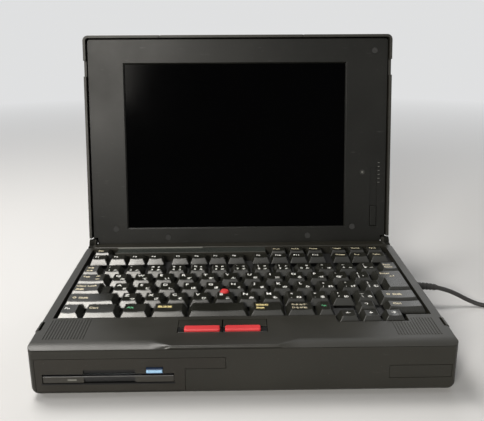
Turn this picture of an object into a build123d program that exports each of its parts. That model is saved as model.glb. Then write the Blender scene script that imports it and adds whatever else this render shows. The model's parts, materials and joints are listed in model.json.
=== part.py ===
from build123d import *
from math import cos, pi, radians, sin, sqrt, tan
import os

os.makedirs("parts", exist_ok=True)

# A portable computer with its lid open. Millimetres, +X to the user's right, +Y away from the
# user, +Z up. The origin lies on the table under the middle of the open machine.

# Housing
deck_border = 7.875
rear_strip_depth = 28.7
foot_height = 2.5
rim_top_z = 38.0
deck_top_z = 40.5
base_wall = 2.6
base_floor = 2.4
corner_radius = 5.0
bottom_rounding = 6.0
rim_step = 0.7
rim_height = 2.8
rear_ledge = 11.2
rear_shoulder_drop = 2.4
rear_slope_drop = 10.0
slip = 0.3

# Lid
lid_lean = 9.5
lid_length = 201.0
lid_depth = 17.0
lid_wall = 2.4
lid_back = 2.2
lid_rounding = 5.0
bezel_depth = 4.0
bezel_thickness = 2.2
bezel_gap = 1.1
lid_foot = -2.9
hinge_setback = 11.0
hinge_z = 41.0
window_width = 214.4
window_height = 160.0
window_foot = 14.2
window_shift = -3.0
panel_middle_h = window_foot + window_height / 2
hinge_pin_radius = 1.5
running_gap = 0.05

# Keyboard
key_pitch = 18.75
row_pitch = 19.4
key_gap = 0.85
key_top_z = 43.4
key_height = 5.8
key_travel = 2.4
key_dish = 0.45
top_side_inset = 3.4
top_front_inset = 2.6
top_back_inset = 2.4
palm_depth = 43.0
board_units = 15
opening_gap = 1.0
small_depth = 15.4
small_side_inset = 2.6
small_margin_left = 2.2
small_margin_right = 3.95
small_group_gap = 5.2
small_key_places = 15
number_to_function_gap = 9.5
function_to_escape_gap = 1.0
arrow_pitch = 17.0
arrow_depth = 14.7

# Places that follow from these
key_rows = 5
board_width = board_units * key_pitch
board_depth = key_rows * row_pitch + number_to_function_gap + 2 * small_depth + function_to_escape_gap
base_depth = palm_depth + board_depth + 2 * opening_gap + rear_strip_depth
base_width = board_width + 2 * deck_border
lean = radians(lid_lean)
lid_reach = lid_length * sin(lean) + lid_depth * cos(lean) - hinge_setback
base_mid_y = -lid_reach / 2
front_y = base_mid_y - base_depth / 2
rear_y = front_y + base_depth
half_width = base_width / 2
hinge_y = rear_y - hinge_setback
lid_plane = Plane(origin=(0, hinge_y, hinge_z), x_dir=(1, 0, 0), z_dir=(0, -cos(lean), sin(lean)))
lid_normal = Axis((0, 0, 0), (0, -cos(lean), sin(lean)))
deck_bottom_z = rim_top_z + slip
key_bottom_z = key_top_z - key_height
board_left = -board_width / 2
board_right = -board_left
board_front = front_y + palm_depth + opening_gap
plate_thickness = 1.2
plate_top_z = key_bottom_z - key_travel - 0.8


def save(builder, name):
    """Labels a finished piece and writes it to its own file."""
    builder.part.label = name
    export_step(builder.part, f"parts/{name}.step")


# Where the rows and the small groups of keys begin
row_front = [board_front + row * row_pitch for row in range(key_rows)]
function_front = row_front[4] + row_pitch + number_to_function_gap
escape_front = function_front + small_depth + function_to_escape_gap
small_left = board_left + small_margin_left
small_run = board_width - small_margin_left - small_margin_right - 3 * small_group_gap
small_pitch = small_run / small_key_places
small_group_pitch = 4 * small_pitch + small_group_gap
group_left = [small_left + group * small_group_pitch for group in range(4)]
arrow_left = board_left + 11.25 * key_pitch
arrow_right = arrow_left + 3 * arrow_pitch
arrow_back = row_front[1] - 0.4
arrow_front = arrow_back - 2 * arrow_depth
ctrl_right_left = arrow_left + 2.3 * arrow_pitch
stick_x = board_left + 6.75 * key_pitch
stick_y = row_front[2] - 0.6


# Keycaps
def keycap(left, right, front, back, side=top_side_inset, fore=top_front_inset, aft=top_back_inset,
           dish=key_dish):
    """One tapered cap in its cell of the board, with a shallow hollow across its top."""
    wide = right - left - key_gap
    deep = back - front - key_gap
    middle = ((left + right) / 2, (front + back) / 2)
    top_wide = wide - 2 * side
    with BuildPart() as cap:
        with BuildSketch(Plane.XY.offset(key_bottom_z)):
            with Locations(middle):
                Rectangle(wide, deep)
        with BuildSketch(Plane.XY.offset(key_top_z)):
            with Locations((middle[0], middle[1] + (fore - aft) / 2)):
                Rectangle(top_wide, deep - fore - aft)
        loft()
        if dish > 0:
            hollow_radius = (top_wide ** 2 / 4 + dish ** 2) / (2 * dish)
            with BuildSketch(Plane.XZ.offset(-(middle[1] + deep / 2))):
                with Locations((middle[0], key_top_z + hollow_radius - dish)):
                    Circle(hollow_radius)
            extrude(amount=deep, mode=Mode.SUBTRACT)
    return cap.part


def unit_keys(row, widths, start=0.0):
    """Caps of the given widths, in key units, side by side along one row."""
    caps = []
    left = board_left + start * key_pitch
    for width in widths:
        right = left + width * key_pitch
        caps.append(keycap(left, right, row_front[row], row_front[row] + row_pitch))
        left = right
    return caps


def small_keys(group, first, count, front):
    """Short caps of one group of the two rear rows."""
    left = group_left[group] + first * small_pitch
    return [
        keycap(left + i * small_pitch, left + (i + 1) * small_pitch, front, front + small_depth,
               small_side_inset, 2.3, 2.1)
        for i in range(count)
    ]


def save_keys(name, caps, stick_notch=False):
    """Joins one group of caps and clears the pointing stick's place where they meet it."""
    with BuildPart() as group:
        add(caps)
        if stick_notch:
            with Locations((stick_x, stick_y, key_top_z - key_height / 2)):
                Cylinder(stick_cap_radius + 1.1, 2 * key_height, mode=Mode.SUBTRACT)
    save(group, name)


stick_cap_radius = 3.6

save_keys("keys_number_row", unit_keys(4, [1] * board_units))
save_keys("key_tab", unit_keys(3, [1.5]))
save_keys("keys_upper_letters", unit_keys(3, [1] * 12, 1.5))
save_keys("keys_home_letters", unit_keys(2, [1] * 12, 1.75), stick_notch=True)
save_keys("key_shift_left", unit_keys(1, [2.25]))
save_keys("keys_lower_letters", unit_keys(1, [1] * 11, 2.25), stick_notch=True)
save_keys("key_shift_right", unit_keys(1, [1.75], 13.25))
save_keys("keys_bottom_row", unit_keys(0, [1, 1.5, 1.25, 1.5]) + unit_keys(0, [1.5, 1.25, 0.75], 7.75))
save_keys("key_space", unit_keys(0, [2.5], 5.25))

# The caps-lock cap has a low ledge on its right.
caps_right = board_left + 1.75 * key_pitch
ledge_width = 5.5
ledge_height = 2.2
with BuildPart() as caps_lock:
    add(keycap(board_left, caps_right - ledge_width, row_front[2], row_front[2] + row_pitch))
    with BuildSketch(Plane.XY.offset(key_bottom_z)):
        with Locations((caps_right - ledge_width, row_front[2] + row_pitch / 2)):
            Rectangle(2 * ledge_width - key_gap, row_pitch - key_gap)
    extrude(amount=ledge_height, taper=8)
save(caps_lock, "key_caps_lock")


# The return key covers two rows and is narrower in the lower one.
def return_outline(z, side, fore, aft, step_inset):
    """The stepped outline of the return key, drawn in by its slopes at the given height."""
    left_low = board_left + 13.75 * key_pitch + key_gap / 2 + side
    left_high = board_left + 13.5 * key_pitch + key_gap / 2 + side
    right = board_right - key_gap / 2 - side
    front = row_front[2] + key_gap / 2 + fore
    step = row_front[3] + key_gap / 2 + step_inset
    back = row_front[3] + row_pitch - key_gap / 2 - aft
    with BuildSketch(Plane.XY.offset(z)) as outline:
        with BuildLine():
            Polyline((left_low, front), (right, front), (right, back), (left_high, back),
                     (left_high, step), (left_low, step), close=True)
        make_face()
    return outline.sketch


return_faces = [return_outline(key_bottom_z, 0, 0, 0, 0),
                return_outline(key_top_z, top_side_inset, top_front_inset, top_back_inset, top_front_inset)]
with BuildPart() as return_key:
    add(return_faces)
    loft()
save(return_key, "key_return")

# Cursor keys in an inverted T, in two half rows
arrow_insets = (3.1, 2.2, 2.0)


def arrow_key(left, right, front):
    """One of the shallow caps at the board's lower right."""
    return keycap(left, right, front, front + arrow_depth, *arrow_insets)


arrow_up = arrow_key(arrow_left + arrow_pitch, arrow_left + 2 * arrow_pitch, arrow_front + arrow_depth)
save_keys("key_arrow_up", [arrow_up])
for index, name in enumerate(["key_arrow_left", "key_arrow_down", "key_arrow_right"]):
    left = arrow_left + index * arrow_pitch
    save_keys(name, [arrow_key(left, left + arrow_pitch, arrow_front)])
save_keys("key_control_right", [arrow_key(ctrl_right_left, board_right, arrow_front + arrow_depth)])

save_keys("key_escape", small_keys(0, 0, 1, escape_front))
function_caps = [cap for group in range(3) for cap in small_keys(group, 0, 4, function_front)]
save_keys("keys_function", function_caps)
navigation_caps = small_keys(3, 0, 3, function_front) + small_keys(3, 0, 3, escape_front)
save_keys("keys_navigation", navigation_caps + small_keys(2, 1, 3, escape_front))

# Deck: the palm rest and the frame round the keys, hinged at its rear edge
deck_thickness = deck_top_z - deck_bottom_z
deck_rear_y = hinge_y - 3.4
deck_corner_y = hinge_y - 10.2
opening_left = board_left - opening_gap
opening_right = board_right + opening_gap
opening_front = board_front - opening_gap
opening_back = escape_front + small_depth + opening_gap
status_front = function_front + small_depth + opening_gap + 2.0
status_left = group_left[0] + small_pitch + 3.6
status_right = group_left[2] + small_pitch - 3.2
arrow_opening_right = arrow_right + opening_gap
arrow_opening_front = arrow_front - opening_gap
opening_wall = 1.5
well_height = 2.0
cover_edge_gap = 0.6
cover_width = 2.2
cover_outer = half_width - cover_edge_gap
cover_inner = cover_outer - cover_width
cover_radius = 4.0
cover_front_y = deck_corner_y + 0.8
cover_step_y = hinge_y - cover_radius - 0.6
arm_width = 1.8
arm_inner = cover_inner - slip - arm_width
arm_radius = 3.8
arm_room = 4.6
deck_ear_width = 1.6
deck_ear_outer = arm_inner - slip
deck_ear_inner = deck_ear_outer - deck_ear_width
deck_ear_radius = 3.5
deck_lip_y = hinge_y + 2.2
deck_lip_thickness = 1.2
notch_inner = deck_ear_inner - 0.7
notch_outer = half_width + 1.0
notch_top = cover_radius + 0.6

# The front edge: a long rounding on both sides, and a square ledge for the thumbs in the middle
edge_rounding_depth = 9.0
ledge_rounding_depth = 1.4
ledge_overhang = 6.0
ledge_run = 14.5

# Side latches
latch_length = 12.0
latch_front = front_y + 25.0
latch_bottom_z = 30.0
latch_press = 1.2
latch_back = 1.6
latch_pocket = latch_back + latch_press + slip

# Click buttons in front of the space bar
button_width = 32.5
button_depth = 19.4
button_middle_x = -15.0
ledge_left = button_middle_x - button_width - 2.5
ledge_right = button_middle_x + button_width + ledge_overhang
button_front = front_y + 18.9
button_travel = 0.8
button_gap = 0.35
button_skirt = 0.6
button_room = button_skirt + button_travel + 0.2
bar_width = 25.7
bar_depth = 7.0
bar_channel_depth = bar_depth + 1.0
bar_rise = 1.5
bar_front = front_y + 20.3


def opening_outline(grow=0.0):
    """The outline of the keys' opening: stepped at the cursor keys, open behind for the rear row."""
    left = opening_left - grow
    right = opening_right + grow
    with BuildLine() as outline:
        Polyline(
            (left, opening_front - grow), (arrow_left - opening_gap - grow, opening_front - grow),
            (arrow_left - opening_gap - grow, arrow_opening_front - grow),
            (arrow_opening_right + grow, arrow_opening_front - grow),
            (arrow_opening_right + grow, opening_front - grow), (right, opening_front - grow),
            (right, opening_back + grow), (status_right + grow, opening_back + grow),
            (status_right + grow, status_front - 2.0 + grow),
            (status_left - grow, status_front - 2.0 + grow),
            (status_left - grow, opening_back + grow), (left, opening_back + grow), close=True)
    return outline.line


inner_opening = opening_outline()
outer_opening = opening_outline(opening_wall)


def edge_section(x, depth):
    """What is cut from the deck's front edge at x: everything in front of an arc."""
    low = front_y - 1.0
    with BuildSketch(Plane.YZ.offset(x)) as section:
        with BuildLine():
            start = (front_y + depth, deck_top_z)
            end = (front_y + 0.2, deck_bottom_z + 0.2)
            TangentArc(start, end, tangent=(-1, 0))
            Polyline(end, (low, deck_bottom_z + 0.2), (low, deck_top_z + 2),
                     (front_y + depth, deck_top_z + 2), start)
        make_face()
    return section.sketch


edge_faces = [
    edge_section(-half_width - 1, edge_rounding_depth),
    edge_section(ledge_left - ledge_run, edge_rounding_depth),
    edge_section(ledge_left, ledge_rounding_depth),
    edge_section(ledge_right, ledge_rounding_depth),
    edge_section(ledge_right + ledge_run, edge_rounding_depth),
    edge_section(half_width + 1, edge_rounding_depth),
]
with BuildPart() as deck_front_cut:
    add(edge_faces)
    loft(ruled=True)

lcd_depth = 13.6
lcd_back = status_front + 5.3 + lcd_depth
with BuildPart() as deck_frame:
    with BuildSketch(Plane.XY.offset(deck_bottom_z)):
        with Locations((0, (front_y + deck_corner_y) / 2)):
            RectangleRounded(base_width, deck_corner_y - front_y, corner_radius)
        with Locations((0, (deck_corner_y - corner_radius + deck_rear_y) / 2)):
            Rectangle(2 * deck_ear_outer, deck_rear_y - deck_corner_y + corner_radius)
    extrude(amount=deck_thickness)
    fillet(deck_frame.faces().sort_by(Axis.Z)[-1].edges().filter_by(Axis.Y).group_by(Axis.X)[0], 1.2)
    add(deck_front_cut.part, mode=Mode.SUBTRACT)
    with BuildSketch(Plane.XY.offset(plate_top_z)):
        add(outer_opening)
        make_face()
    extrude(amount=deck_top_z - plate_top_z - 0.4)
    with BuildSketch(Plane.XY.offset(plate_top_z)):
        add(inner_opening)
        make_face()
    extrude(amount=deck_top_z - plate_top_z + 1, mode=Mode.SUBTRACT)
    # Openings for the click buttons, with a floor frame to carry them
    with BuildSketch(Plane.XY.offset(deck_bottom_z)):
        with Locations((button_middle_x, button_front + button_depth / 2)):
            Rectangle(2 * button_width, button_depth)
    extrude(amount=deck_thickness, mode=Mode.SUBTRACT)
    with BuildSketch(Plane.XY.offset(deck_bottom_z - button_room - 1.0)):
        with Locations((button_middle_x, button_front + button_depth / 2)):
            Rectangle(2 * button_width + 3, button_depth + 3)
    extrude(amount=1.0)
    with BuildSketch(Plane.XY.offset(deck_bottom_z - button_room)):
        with Locations((button_middle_x, button_front + button_depth / 2)):
            Rectangle(2 * button_width + 3, button_depth + 3)
            Rectangle(2 * button_width, button_depth, mode=Mode.SUBTRACT)
    extrude(amount=button_room)
    # Recess of the status display, and the raised strip behind it
    with BuildSketch(Plane.XY.offset(deck_top_z)):
        with Locations(((status_left + status_right) / 2, lcd_back - lcd_depth / 2)):
            Rectangle(status_right - status_left, lcd_depth)
    extrude(amount=-1.2, mode=Mode.SUBTRACT)
    with BuildSketch(Plane.XY.offset(deck_top_z)):
        with Locations((0, (lcd_back + 0.8 + deck_rear_y - 1.6) / 2)):
            Rectangle(2 * notch_inner, deck_rear_y - lcd_back - 2.4)
    extrude(amount=0.4, taper=20)
    # A low lip that closes the gap under the lid
    with BuildSketch(Plane.XY.offset(deck_bottom_z)):
        with Locations((0, (deck_rear_y - 1.0 + deck_lip_y) / 2)):
            Rectangle(2 * notch_inner - 2 * slip, deck_lip_y - deck_rear_y + 1.0)
    extrude(amount=deck_lip_thickness)
    # Ears that turn on the lid's hinge pins
    for side in (-1, 1):
        with BuildSketch(Plane.YZ.offset(min(side * deck_ear_inner, side * deck_ear_outer))):
            with BuildLine():
                Polyline((deck_corner_y - 2.0, deck_bottom_z), (deck_corner_y - 2.0, deck_top_z - 0.3),
                         (deck_rear_y, deck_top_z - 0.3), (hinge_y, hinge_z + deck_ear_radius - 0.1),
                         (hinge_y, hinge_z - deck_ear_radius + 0.1), (deck_rear_y, deck_bottom_z),
                         close=True)
            make_face()
            with Locations((hinge_y, hinge_z)):
                Circle(deck_ear_radius)
                Circle(hinge_pin_radius + running_gap, mode=Mode.SUBTRACT)
        extrude(amount=deck_ear_width)
        # Notch beside each side latch
        with BuildSketch(Plane.XY.offset(deck_bottom_z - 1)):
            with Locations((side * half_width, latch_front + latch_length / 2)):
                Rectangle(2 * latch_pocket, latch_length + 0.6)
        extrude(amount=deck_thickness + 2, mode=Mode.SUBTRACT)
save(deck_frame, "deck_frame")

with BuildPart() as status_display:
    with BuildSketch(Plane.XY.offset(deck_top_z - 1.2)):
        with Locations(((status_left + status_right) / 2, lcd_back - lcd_depth / 2)):
            Rectangle(status_right - status_left - 0.4, lcd_depth - 0.4)
    extrude(amount=0.9)
save(status_display, "status_display")

with BuildPart() as keyboard_plate:
    with BuildSketch(Plane.XY.offset(plate_top_z - plate_thickness)):
        add(outer_opening)
        make_face()
    extrude(amount=plate_thickness)
    # Raised wells on both sides of the up key
    wells = ((arrow_left, arrow_left + arrow_pitch), (arrow_left + 2 * arrow_pitch, ctrl_right_left))
    for left, right in wells:
        with BuildSketch(Plane.XY.offset(plate_top_z)):
            with Locations(((left + right) / 2, arrow_back - arrow_depth / 2)):
                Rectangle(right - left - key_gap, arrow_depth - key_gap)
        extrude(amount=well_height)
save(keyboard_plate, "keyboard_plate")

# Pointing stick, fixed to the plate
stick_cap_top = key_top_z + 0.7
with BuildPart() as stick_post:
    with BuildSketch(Plane.XY.offset(plate_top_z)):
        with Locations((stick_x, stick_y)):
            Circle(2.6)
    extrude(amount=2.0)
    with BuildSketch(Plane.XY.offset(plate_top_z + 2.0)):
        with Locations((stick_x, stick_y)):
            Rectangle(2.2, 2.2)
    extrude(amount=stick_cap_top - plate_top_z - 3.6)
save(stick_post, "pointing_stick_post")

stick_cap_bottom = stick_cap_top - 4.2
with BuildPart() as stick_cap:
    with BuildSketch(Plane.XZ.offset(-stick_y)):
        with BuildLine():
            Polyline((stick_x, stick_cap_top), (stick_x, stick_cap_bottom),
                     (stick_x + 2.7, stick_cap_bottom), (stick_x + 3.1, stick_cap_bottom + 1.2),
                     (stick_x + stick_cap_radius, stick_cap_top - 1.5),
                     (stick_x + 0.8 * stick_cap_radius, stick_cap_top - 0.4), (stick_x, stick_cap_top))
        make_face()
    revolve(axis=Axis((stick_x, stick_y, 0), (0, 0, 1)))
    with BuildSketch(Plane.XY.offset(stick_cap_bottom)):
        with Locations((stick_x, stick_y)):
            Rectangle(2.2, 2.2)
    extrude(amount=stick_cap_top - 1.6 - stick_cap_bottom, mode=Mode.SUBTRACT)
save(stick_cap, "pointing_stick_cap")

# Click buttons and their raised bars
for side, name in ((-1, "left"), (1, "right")):
    button_x = button_middle_x + side * button_width / 2
    bar_x = button_middle_x + side * (bar_width / 2 + 1.8)
    with BuildPart() as button:
        with BuildSketch(Plane.XY.offset(deck_bottom_z - button_skirt)):
            with Locations((button_x, button_front + button_depth / 2)):
                Rectangle(button_width - 2 * button_gap, button_depth - 2 * button_gap)
        extrude(amount=deck_thickness + button_skirt)
        chamfer(button.faces().sort_by(Axis.Z)[-1].edges(), 0.3)
        with BuildSketch(Plane.XY.offset(deck_top_z - 1.0)):
            with Locations((button_x, bar_front + bar_depth / 2)):
                Rectangle(button_width, bar_channel_depth)
        extrude(amount=2, mode=Mode.SUBTRACT)
    save(button, f"click_button_{name}")
    with BuildPart() as bar:
        with BuildSketch(Plane.XY.offset(deck_top_z - 1.0)):
            with Locations((bar_x, bar_front + bar_depth / 2)):
                RectangleRounded(bar_width, bar_depth, 1.5)
        extrude(amount=1.0 + bar_rise)
        fillet(bar.faces().sort_by(Axis.Z)[-1].edges(), 1.0)
    save(bar, f"click_bar_{name}")

# Base cover: an open tub with a sloped rear shoulder under the lid's hinges
bottom_z = foot_height
tub_height = rim_top_z - bottom_z
ledge_front_y = hinge_y - 0.3
tub_back_inner = ledge_front_y
drive_width = 97.0
drive_depth = 128.0
drive_bottom_z = foot_height + base_floor
drive_top_z = 21.6
slot_width = 91.0
slot_left = -half_width + 9.0
slot_middle = slot_left + slot_width / 2
slot_bottom_z = 12.2
slot_top_z = 19.5
drive_left = slot_middle - drive_width / 2
bezel_left = slot_left - 4.7
bezel_right = slot_left + slot_width + 7.5
tab_length = 28.2
bezel_bottom_z = 6.0
bezel_top_z = 31.0
tab_right = bezel_right + tab_length
tab_bottom_z = 22.8
bezel_plate = 3.0
panel_line_z = 18.5
panel_line_width = 44.0
panel_line_height = 10.2
face_y = front_y + rim_step
jack_y = front_y + 137.5
jack_z = 20.0
jack_radius = 5.6
jack_depth = 9.0
jack_pin_radius = 0.9
plug_radius = 2.7
port_door_width = 214.0
port_door_height = 18.5
port_door_bottom_z = 8.0
port_door_thickness = 2.2
door_y = rear_y - port_door_thickness / 2
door_pivot_z = port_door_bottom_z + port_door_thickness / 2
door_pin_radius = 0.7
switch_front = front_y + 52.0
switch_length = 9.0
switch_travel = 4.0
switch_slot_bottom_z = 33.2
switch_slot_height = 3.4


def floppy_face(grow):
    """The floppy bezel's outline: a wide panel with a tab at its upper right."""
    with BuildLine() as outline:
        Polyline((bezel_left - grow, bezel_bottom_z - grow), (bezel_right + grow, bezel_bottom_z - grow),
                 (bezel_right + grow, tab_bottom_z - grow), (tab_right + grow, tab_bottom_z - grow),
                 (tab_right + grow, bezel_top_z + grow), (bezel_left - grow, bezel_top_z + grow), close=True)
    return outline.line


with BuildPart() as base_cover:
    with BuildSketch(Plane.XY.offset(bottom_z)):
        with Locations((0, base_mid_y)):
            RectangleRounded(base_width, base_depth, corner_radius)
    extrude(amount=tub_height)
    fillet(base_cover.faces().sort_by(Axis.Z)[0].edges(), bottom_rounding)
    # The front face stands a little behind the rim.
    with BuildSketch(Plane.YZ.offset(-half_width - 1)):
        with Locations((front_y, bottom_z + tub_height / 2 - rim_height)):
            Rectangle(2 * rim_step, tub_height)
    extrude(amount=base_width + 2, mode=Mode.SUBTRACT)
    # Sloped shoulder along the rear
    with BuildSketch(Plane.YZ.offset(-half_width - 1)):
        with BuildLine():
            Polyline((ledge_front_y, rim_top_z + 1), (ledge_front_y, rim_top_z - rear_shoulder_drop),
                     (rear_y, rim_top_z - rear_slope_drop), (rear_y + 0.8, rim_top_z - rear_slope_drop),
                     (rear_y + 0.8, rim_top_z + 1), close=True)
        make_face()
    extrude(amount=base_width + 2, mode=Mode.SUBTRACT)
    # The hollow of the tub
    with BuildSketch(Plane.XY.offset(bottom_z + base_floor)):
        with Locations((0, (front_y + rim_step + base_wall + tub_back_inner) / 2)):
            RectangleRounded(base_width - 2 * base_wall, tub_back_inner - front_y - rim_step - base_wall,
                             corner_radius - base_wall)
    extrude(amount=tub_height, mode=Mode.SUBTRACT)
    # Opening for the floppy drive's bezel
    with BuildSketch(Plane.XZ.offset(-(front_y + rim_step + base_wall + 1))):
        add(floppy_face(slip))
        make_face()
    extrude(amount=base_wall + rim_step + 2, mode=Mode.SUBTRACT)
    # Shallow panel line at the front right
    with BuildSketch(Plane.XZ.offset(-(face_y + 0.5))):
        with Locations((half_width - 25.8, panel_line_z)):
            Rectangle(panel_line_width, panel_line_height)
            Rectangle(panel_line_width - 1.0, panel_line_height - 1.0, mode=Mode.SUBTRACT)
    extrude(amount=1.0, mode=Mode.SUBTRACT)
    # Space for the lid's hinge arms behind the deck
    for side in (-1, 1):
        with BuildSketch(Plane.YZ.offset(min(side * notch_inner, side * cover_inner))):
            with Locations((hinge_y, hinge_z)):
                Circle(arm_room)
        extrude(amount=cover_inner - notch_inner, mode=Mode.SUBTRACT)
    # Hole for the power jack
    with BuildSketch(Plane.YZ.offset(half_width - base_wall - 1)):
        with Locations((jack_y, jack_z)):
            Circle(jack_radius + 0.05)
    extrude(amount=base_wall + 2, mode=Mode.SUBTRACT)
    # Pockets for the side latches and the power switch
    for side in (-1, 1):
        with BuildSketch(Plane.XY.offset(latch_bottom_z - 0.3)):
            with Locations((side * half_width, latch_front + latch_length / 2)):
                Rectangle(2 * latch_pocket, latch_length + 0.6)
        extrude(amount=rim_top_z - latch_bottom_z + 1, mode=Mode.SUBTRACT)
    with BuildSketch(Plane.YZ.offset(half_width - base_wall - 1)):
        with Locations((switch_front + (switch_length + switch_travel) / 2,
                        switch_slot_bottom_z + switch_slot_height / 2)):
            Rectangle(switch_length + switch_travel + 0.6, switch_slot_height)
    extrude(amount=base_wall + 2, mode=Mode.SUBTRACT)
    # Recess in the rear for the door over the connectors
    with BuildSketch(Plane.XZ.offset(-rear_y)):
        with Locations((0, port_door_bottom_z + port_door_height / 2)):
            Rectangle(port_door_width + 0.8, port_door_height + 0.8)
    extrude(amount=port_door_thickness + 6.4, mode=Mode.SUBTRACT)
    with BuildSketch(Plane.YZ.offset(-port_door_width / 2 - 2.0)):
        with Locations((door_y, door_pivot_z)):
            Circle(door_pin_radius + running_gap)
    extrude(amount=port_door_width + 4.0, mode=Mode.SUBTRACT)
    # Blocks under the hinge covers
    for side in (-1, 1):
        with BuildSketch(Plane.XY.offset(rim_top_z - 10.0)):
            with Locations((side * (arm_inner + half_width - 1.0) / 2, (cover_front_y + cover_step_y) / 2)):
                Rectangle(half_width - 1.0 - arm_inner, cover_step_y - cover_front_y)
        extrude(amount=10.0)
save(base_cover, "base_cover")

# Floppy drive, its bezel, flap and eject button
drive_front_y = face_y + bezel_plate + 0.2
drive_mid = (drive_left + drive_width / 2, drive_front_y + drive_depth / 2)
disk_height = 4.8
recess_width = 35.5
recess_left = slot_middle + 0.75 - recess_width / 2
recess_right = recess_left + recess_width
recess_top_z = 22.4
eject_width = 11.4
eject_right = slot_left + slot_width - 7.7
eject_left = eject_right - eject_width
eject_bottom_z = 20.1
eject_top_z = 24.0
flap_top_z = slot_top_z - 1.7
flap_bottom_z = slot_bottom_z + 0.35
flap_thickness = 2.2
flap_back_y = face_y + bezel_plate - 0.3
flap_pivot_y = flap_back_y - flap_thickness / 2
flap_pivot_z = flap_top_z - flap_thickness / 2
flap_pin_radius = 0.5
with BuildPart() as floppy_drive:
    with BuildSketch(Plane.XY.offset(drive_bottom_z)):
        with Locations(drive_mid):
            Rectangle(drive_width, drive_depth)
    extrude(amount=drive_top_z - drive_bottom_z)
    chamfer(floppy_drive.faces().sort_by(Axis.Z)[-1].edges().filter_by(Axis.Y), 1.5)
    with BuildSketch(Plane.XZ.offset(-drive_front_y)):
        with Locations((slot_middle, slot_bottom_z + 0.9 + disk_height / 2)):
            Rectangle(slot_width, disk_height)
    extrude(amount=-92.0, mode=Mode.SUBTRACT)
    # Wider mouth where the flap folds in, and room behind the eject button
    with BuildSketch(Plane.XZ.offset(-drive_front_y)):
        with Locations((slot_middle, (slot_bottom_z + slot_top_z) / 2)):
            Rectangle(slot_width, slot_top_z - slot_bottom_z)
        with Locations(((eject_left + eject_right) / 2, eject_bottom_z + 1.0)):
            Rectangle(eject_right - eject_left + 1.0, 2.6)
    extrude(amount=-8.0, mode=Mode.SUBTRACT)
save(floppy_drive, "floppy_drive")

with BuildPart() as floppy_bezel:
    with BuildSketch(Plane.XZ.offset(-(face_y + bezel_plate))):
        add(floppy_face(0))
        make_face()
        with Locations((slot_middle, (slot_bottom_z + slot_top_z) / 2)):
            Rectangle(slot_width, slot_top_z - slot_bottom_z, mode=Mode.SUBTRACT)
        with Locations(((eject_left + eject_right) / 2, (eject_bottom_z + eject_top_z) / 2)):
            Rectangle(eject_right - eject_left + 0.3, eject_top_z - eject_bottom_z + 0.3, mode=Mode.SUBTRACT)
    extrude(amount=bezel_plate)
    # Finger scoop over the slot
    with BuildSketch(Plane.XZ.offset(-(face_y + 1.6))):
        with Locations(((recess_left + recess_right) / 2, (slot_top_z + recess_top_z) / 2)):
            Rectangle(recess_right - recess_left, recess_top_z - slot_top_z)
    extrude(amount=2, mode=Mode.SUBTRACT)
    # Bores for the flap's pins
    with BuildSketch(Plane.YZ.offset(slot_left - 1.2)):
        with Locations((flap_pivot_y, flap_pivot_z)):
            Circle(flap_pin_radius + running_gap)
    extrude(amount=slot_width + 2.4, mode=Mode.SUBTRACT)
save(floppy_bezel, "floppy_bezel")

with BuildPart() as floppy_flap:
    with BuildSketch(Plane.XZ.offset(-flap_back_y)):
        with Locations((slot_middle, (flap_top_z + flap_bottom_z) / 2)):
            Rectangle(slot_width - 0.8, flap_top_z - flap_bottom_z)
    extrude(amount=flap_thickness)
    fillet(floppy_flap.edges().filter_by(Axis.X).group_by(Axis.Z)[-1], flap_thickness / 2 - 0.05)
    with BuildSketch(Plane.XZ.offset(-(flap_back_y - 1.0))):
        with Locations(((recess_left + recess_right) / 2, flap_bottom_z)):
            Rectangle(recess_right - recess_left, 2 * (flap_pivot_z - flap_bottom_z - 1.2))
    extrude(amount=3, mode=Mode.SUBTRACT)
    with BuildSketch(Plane.YZ.offset(slot_left - 0.6)):
        with Locations((flap_pivot_y, flap_pivot_z)):
            Circle(flap_pin_radius)
    extrude(amount=slot_width + 1.2)
save(floppy_flap, "floppy_flap")

eject_travel = 2.6
with BuildPart() as eject_button:
    with BuildSketch(Plane.XZ.offset(-(drive_front_y - 0.2))):
        with Locations(((eject_left + eject_right) / 2, (eject_bottom_z + eject_top_z) / 2)):
            Rectangle(eject_right - eject_left - 0.2, eject_top_z - eject_bottom_z - 0.2)
    extrude(amount=bezel_plate + 1.6)
    fillet(eject_button.faces().sort_by(Axis.Y)[0].edges(), 0.6)
save(eject_button, "eject_button")

# Modules inside the tub
inside_front = front_y + rim_step + base_wall + 4.0
inside_half = half_width - base_wall - 3.5
battery_top_z = 31.0
battery_depth = 85.0
disk_pack_top_z = 25.0
disk_pack_width = 86.0
disk_pack_depth = 103.0
module_gap = 2.0
pull_place = 9.0


def module(name, left, right, front, back, low, high, rounding=1.5, grip=None):
    """A boxed module with rounded upright edges and, where it is lifted out, a pull recess."""
    with BuildPart() as box:
        with BuildSketch(Plane.XY.offset(low)):
            with Locations(((left + right) / 2, (front + back) / 2)):
                RectangleRounded(right - left, back - front, rounding)
        extrude(amount=high - low)
        if grip:
            with BuildSketch(Plane.XY.offset(high)):
                with Locations(((left + right) / 2, front + grip)):
                    SlotOverall(24.0, 8.0)
            extrude(amount=-3.0, mode=Mode.SUBTRACT)
    save(box, name)


drive_back = drive_front_y + drive_depth
disk_pack_left = drive_left + drive_width + module_gap + 1.5
disk_pack_right = disk_pack_left + disk_pack_width
module("hard_disk_pack", disk_pack_left, disk_pack_right, inside_front, inside_front + disk_pack_depth,
       drive_bottom_z, disk_pack_top_z, grip=pull_place)
module("battery_pack", disk_pack_right + module_gap, inside_half, inside_front, inside_front + battery_depth,
       drive_bottom_z, battery_top_z, grip=pull_place)

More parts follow.
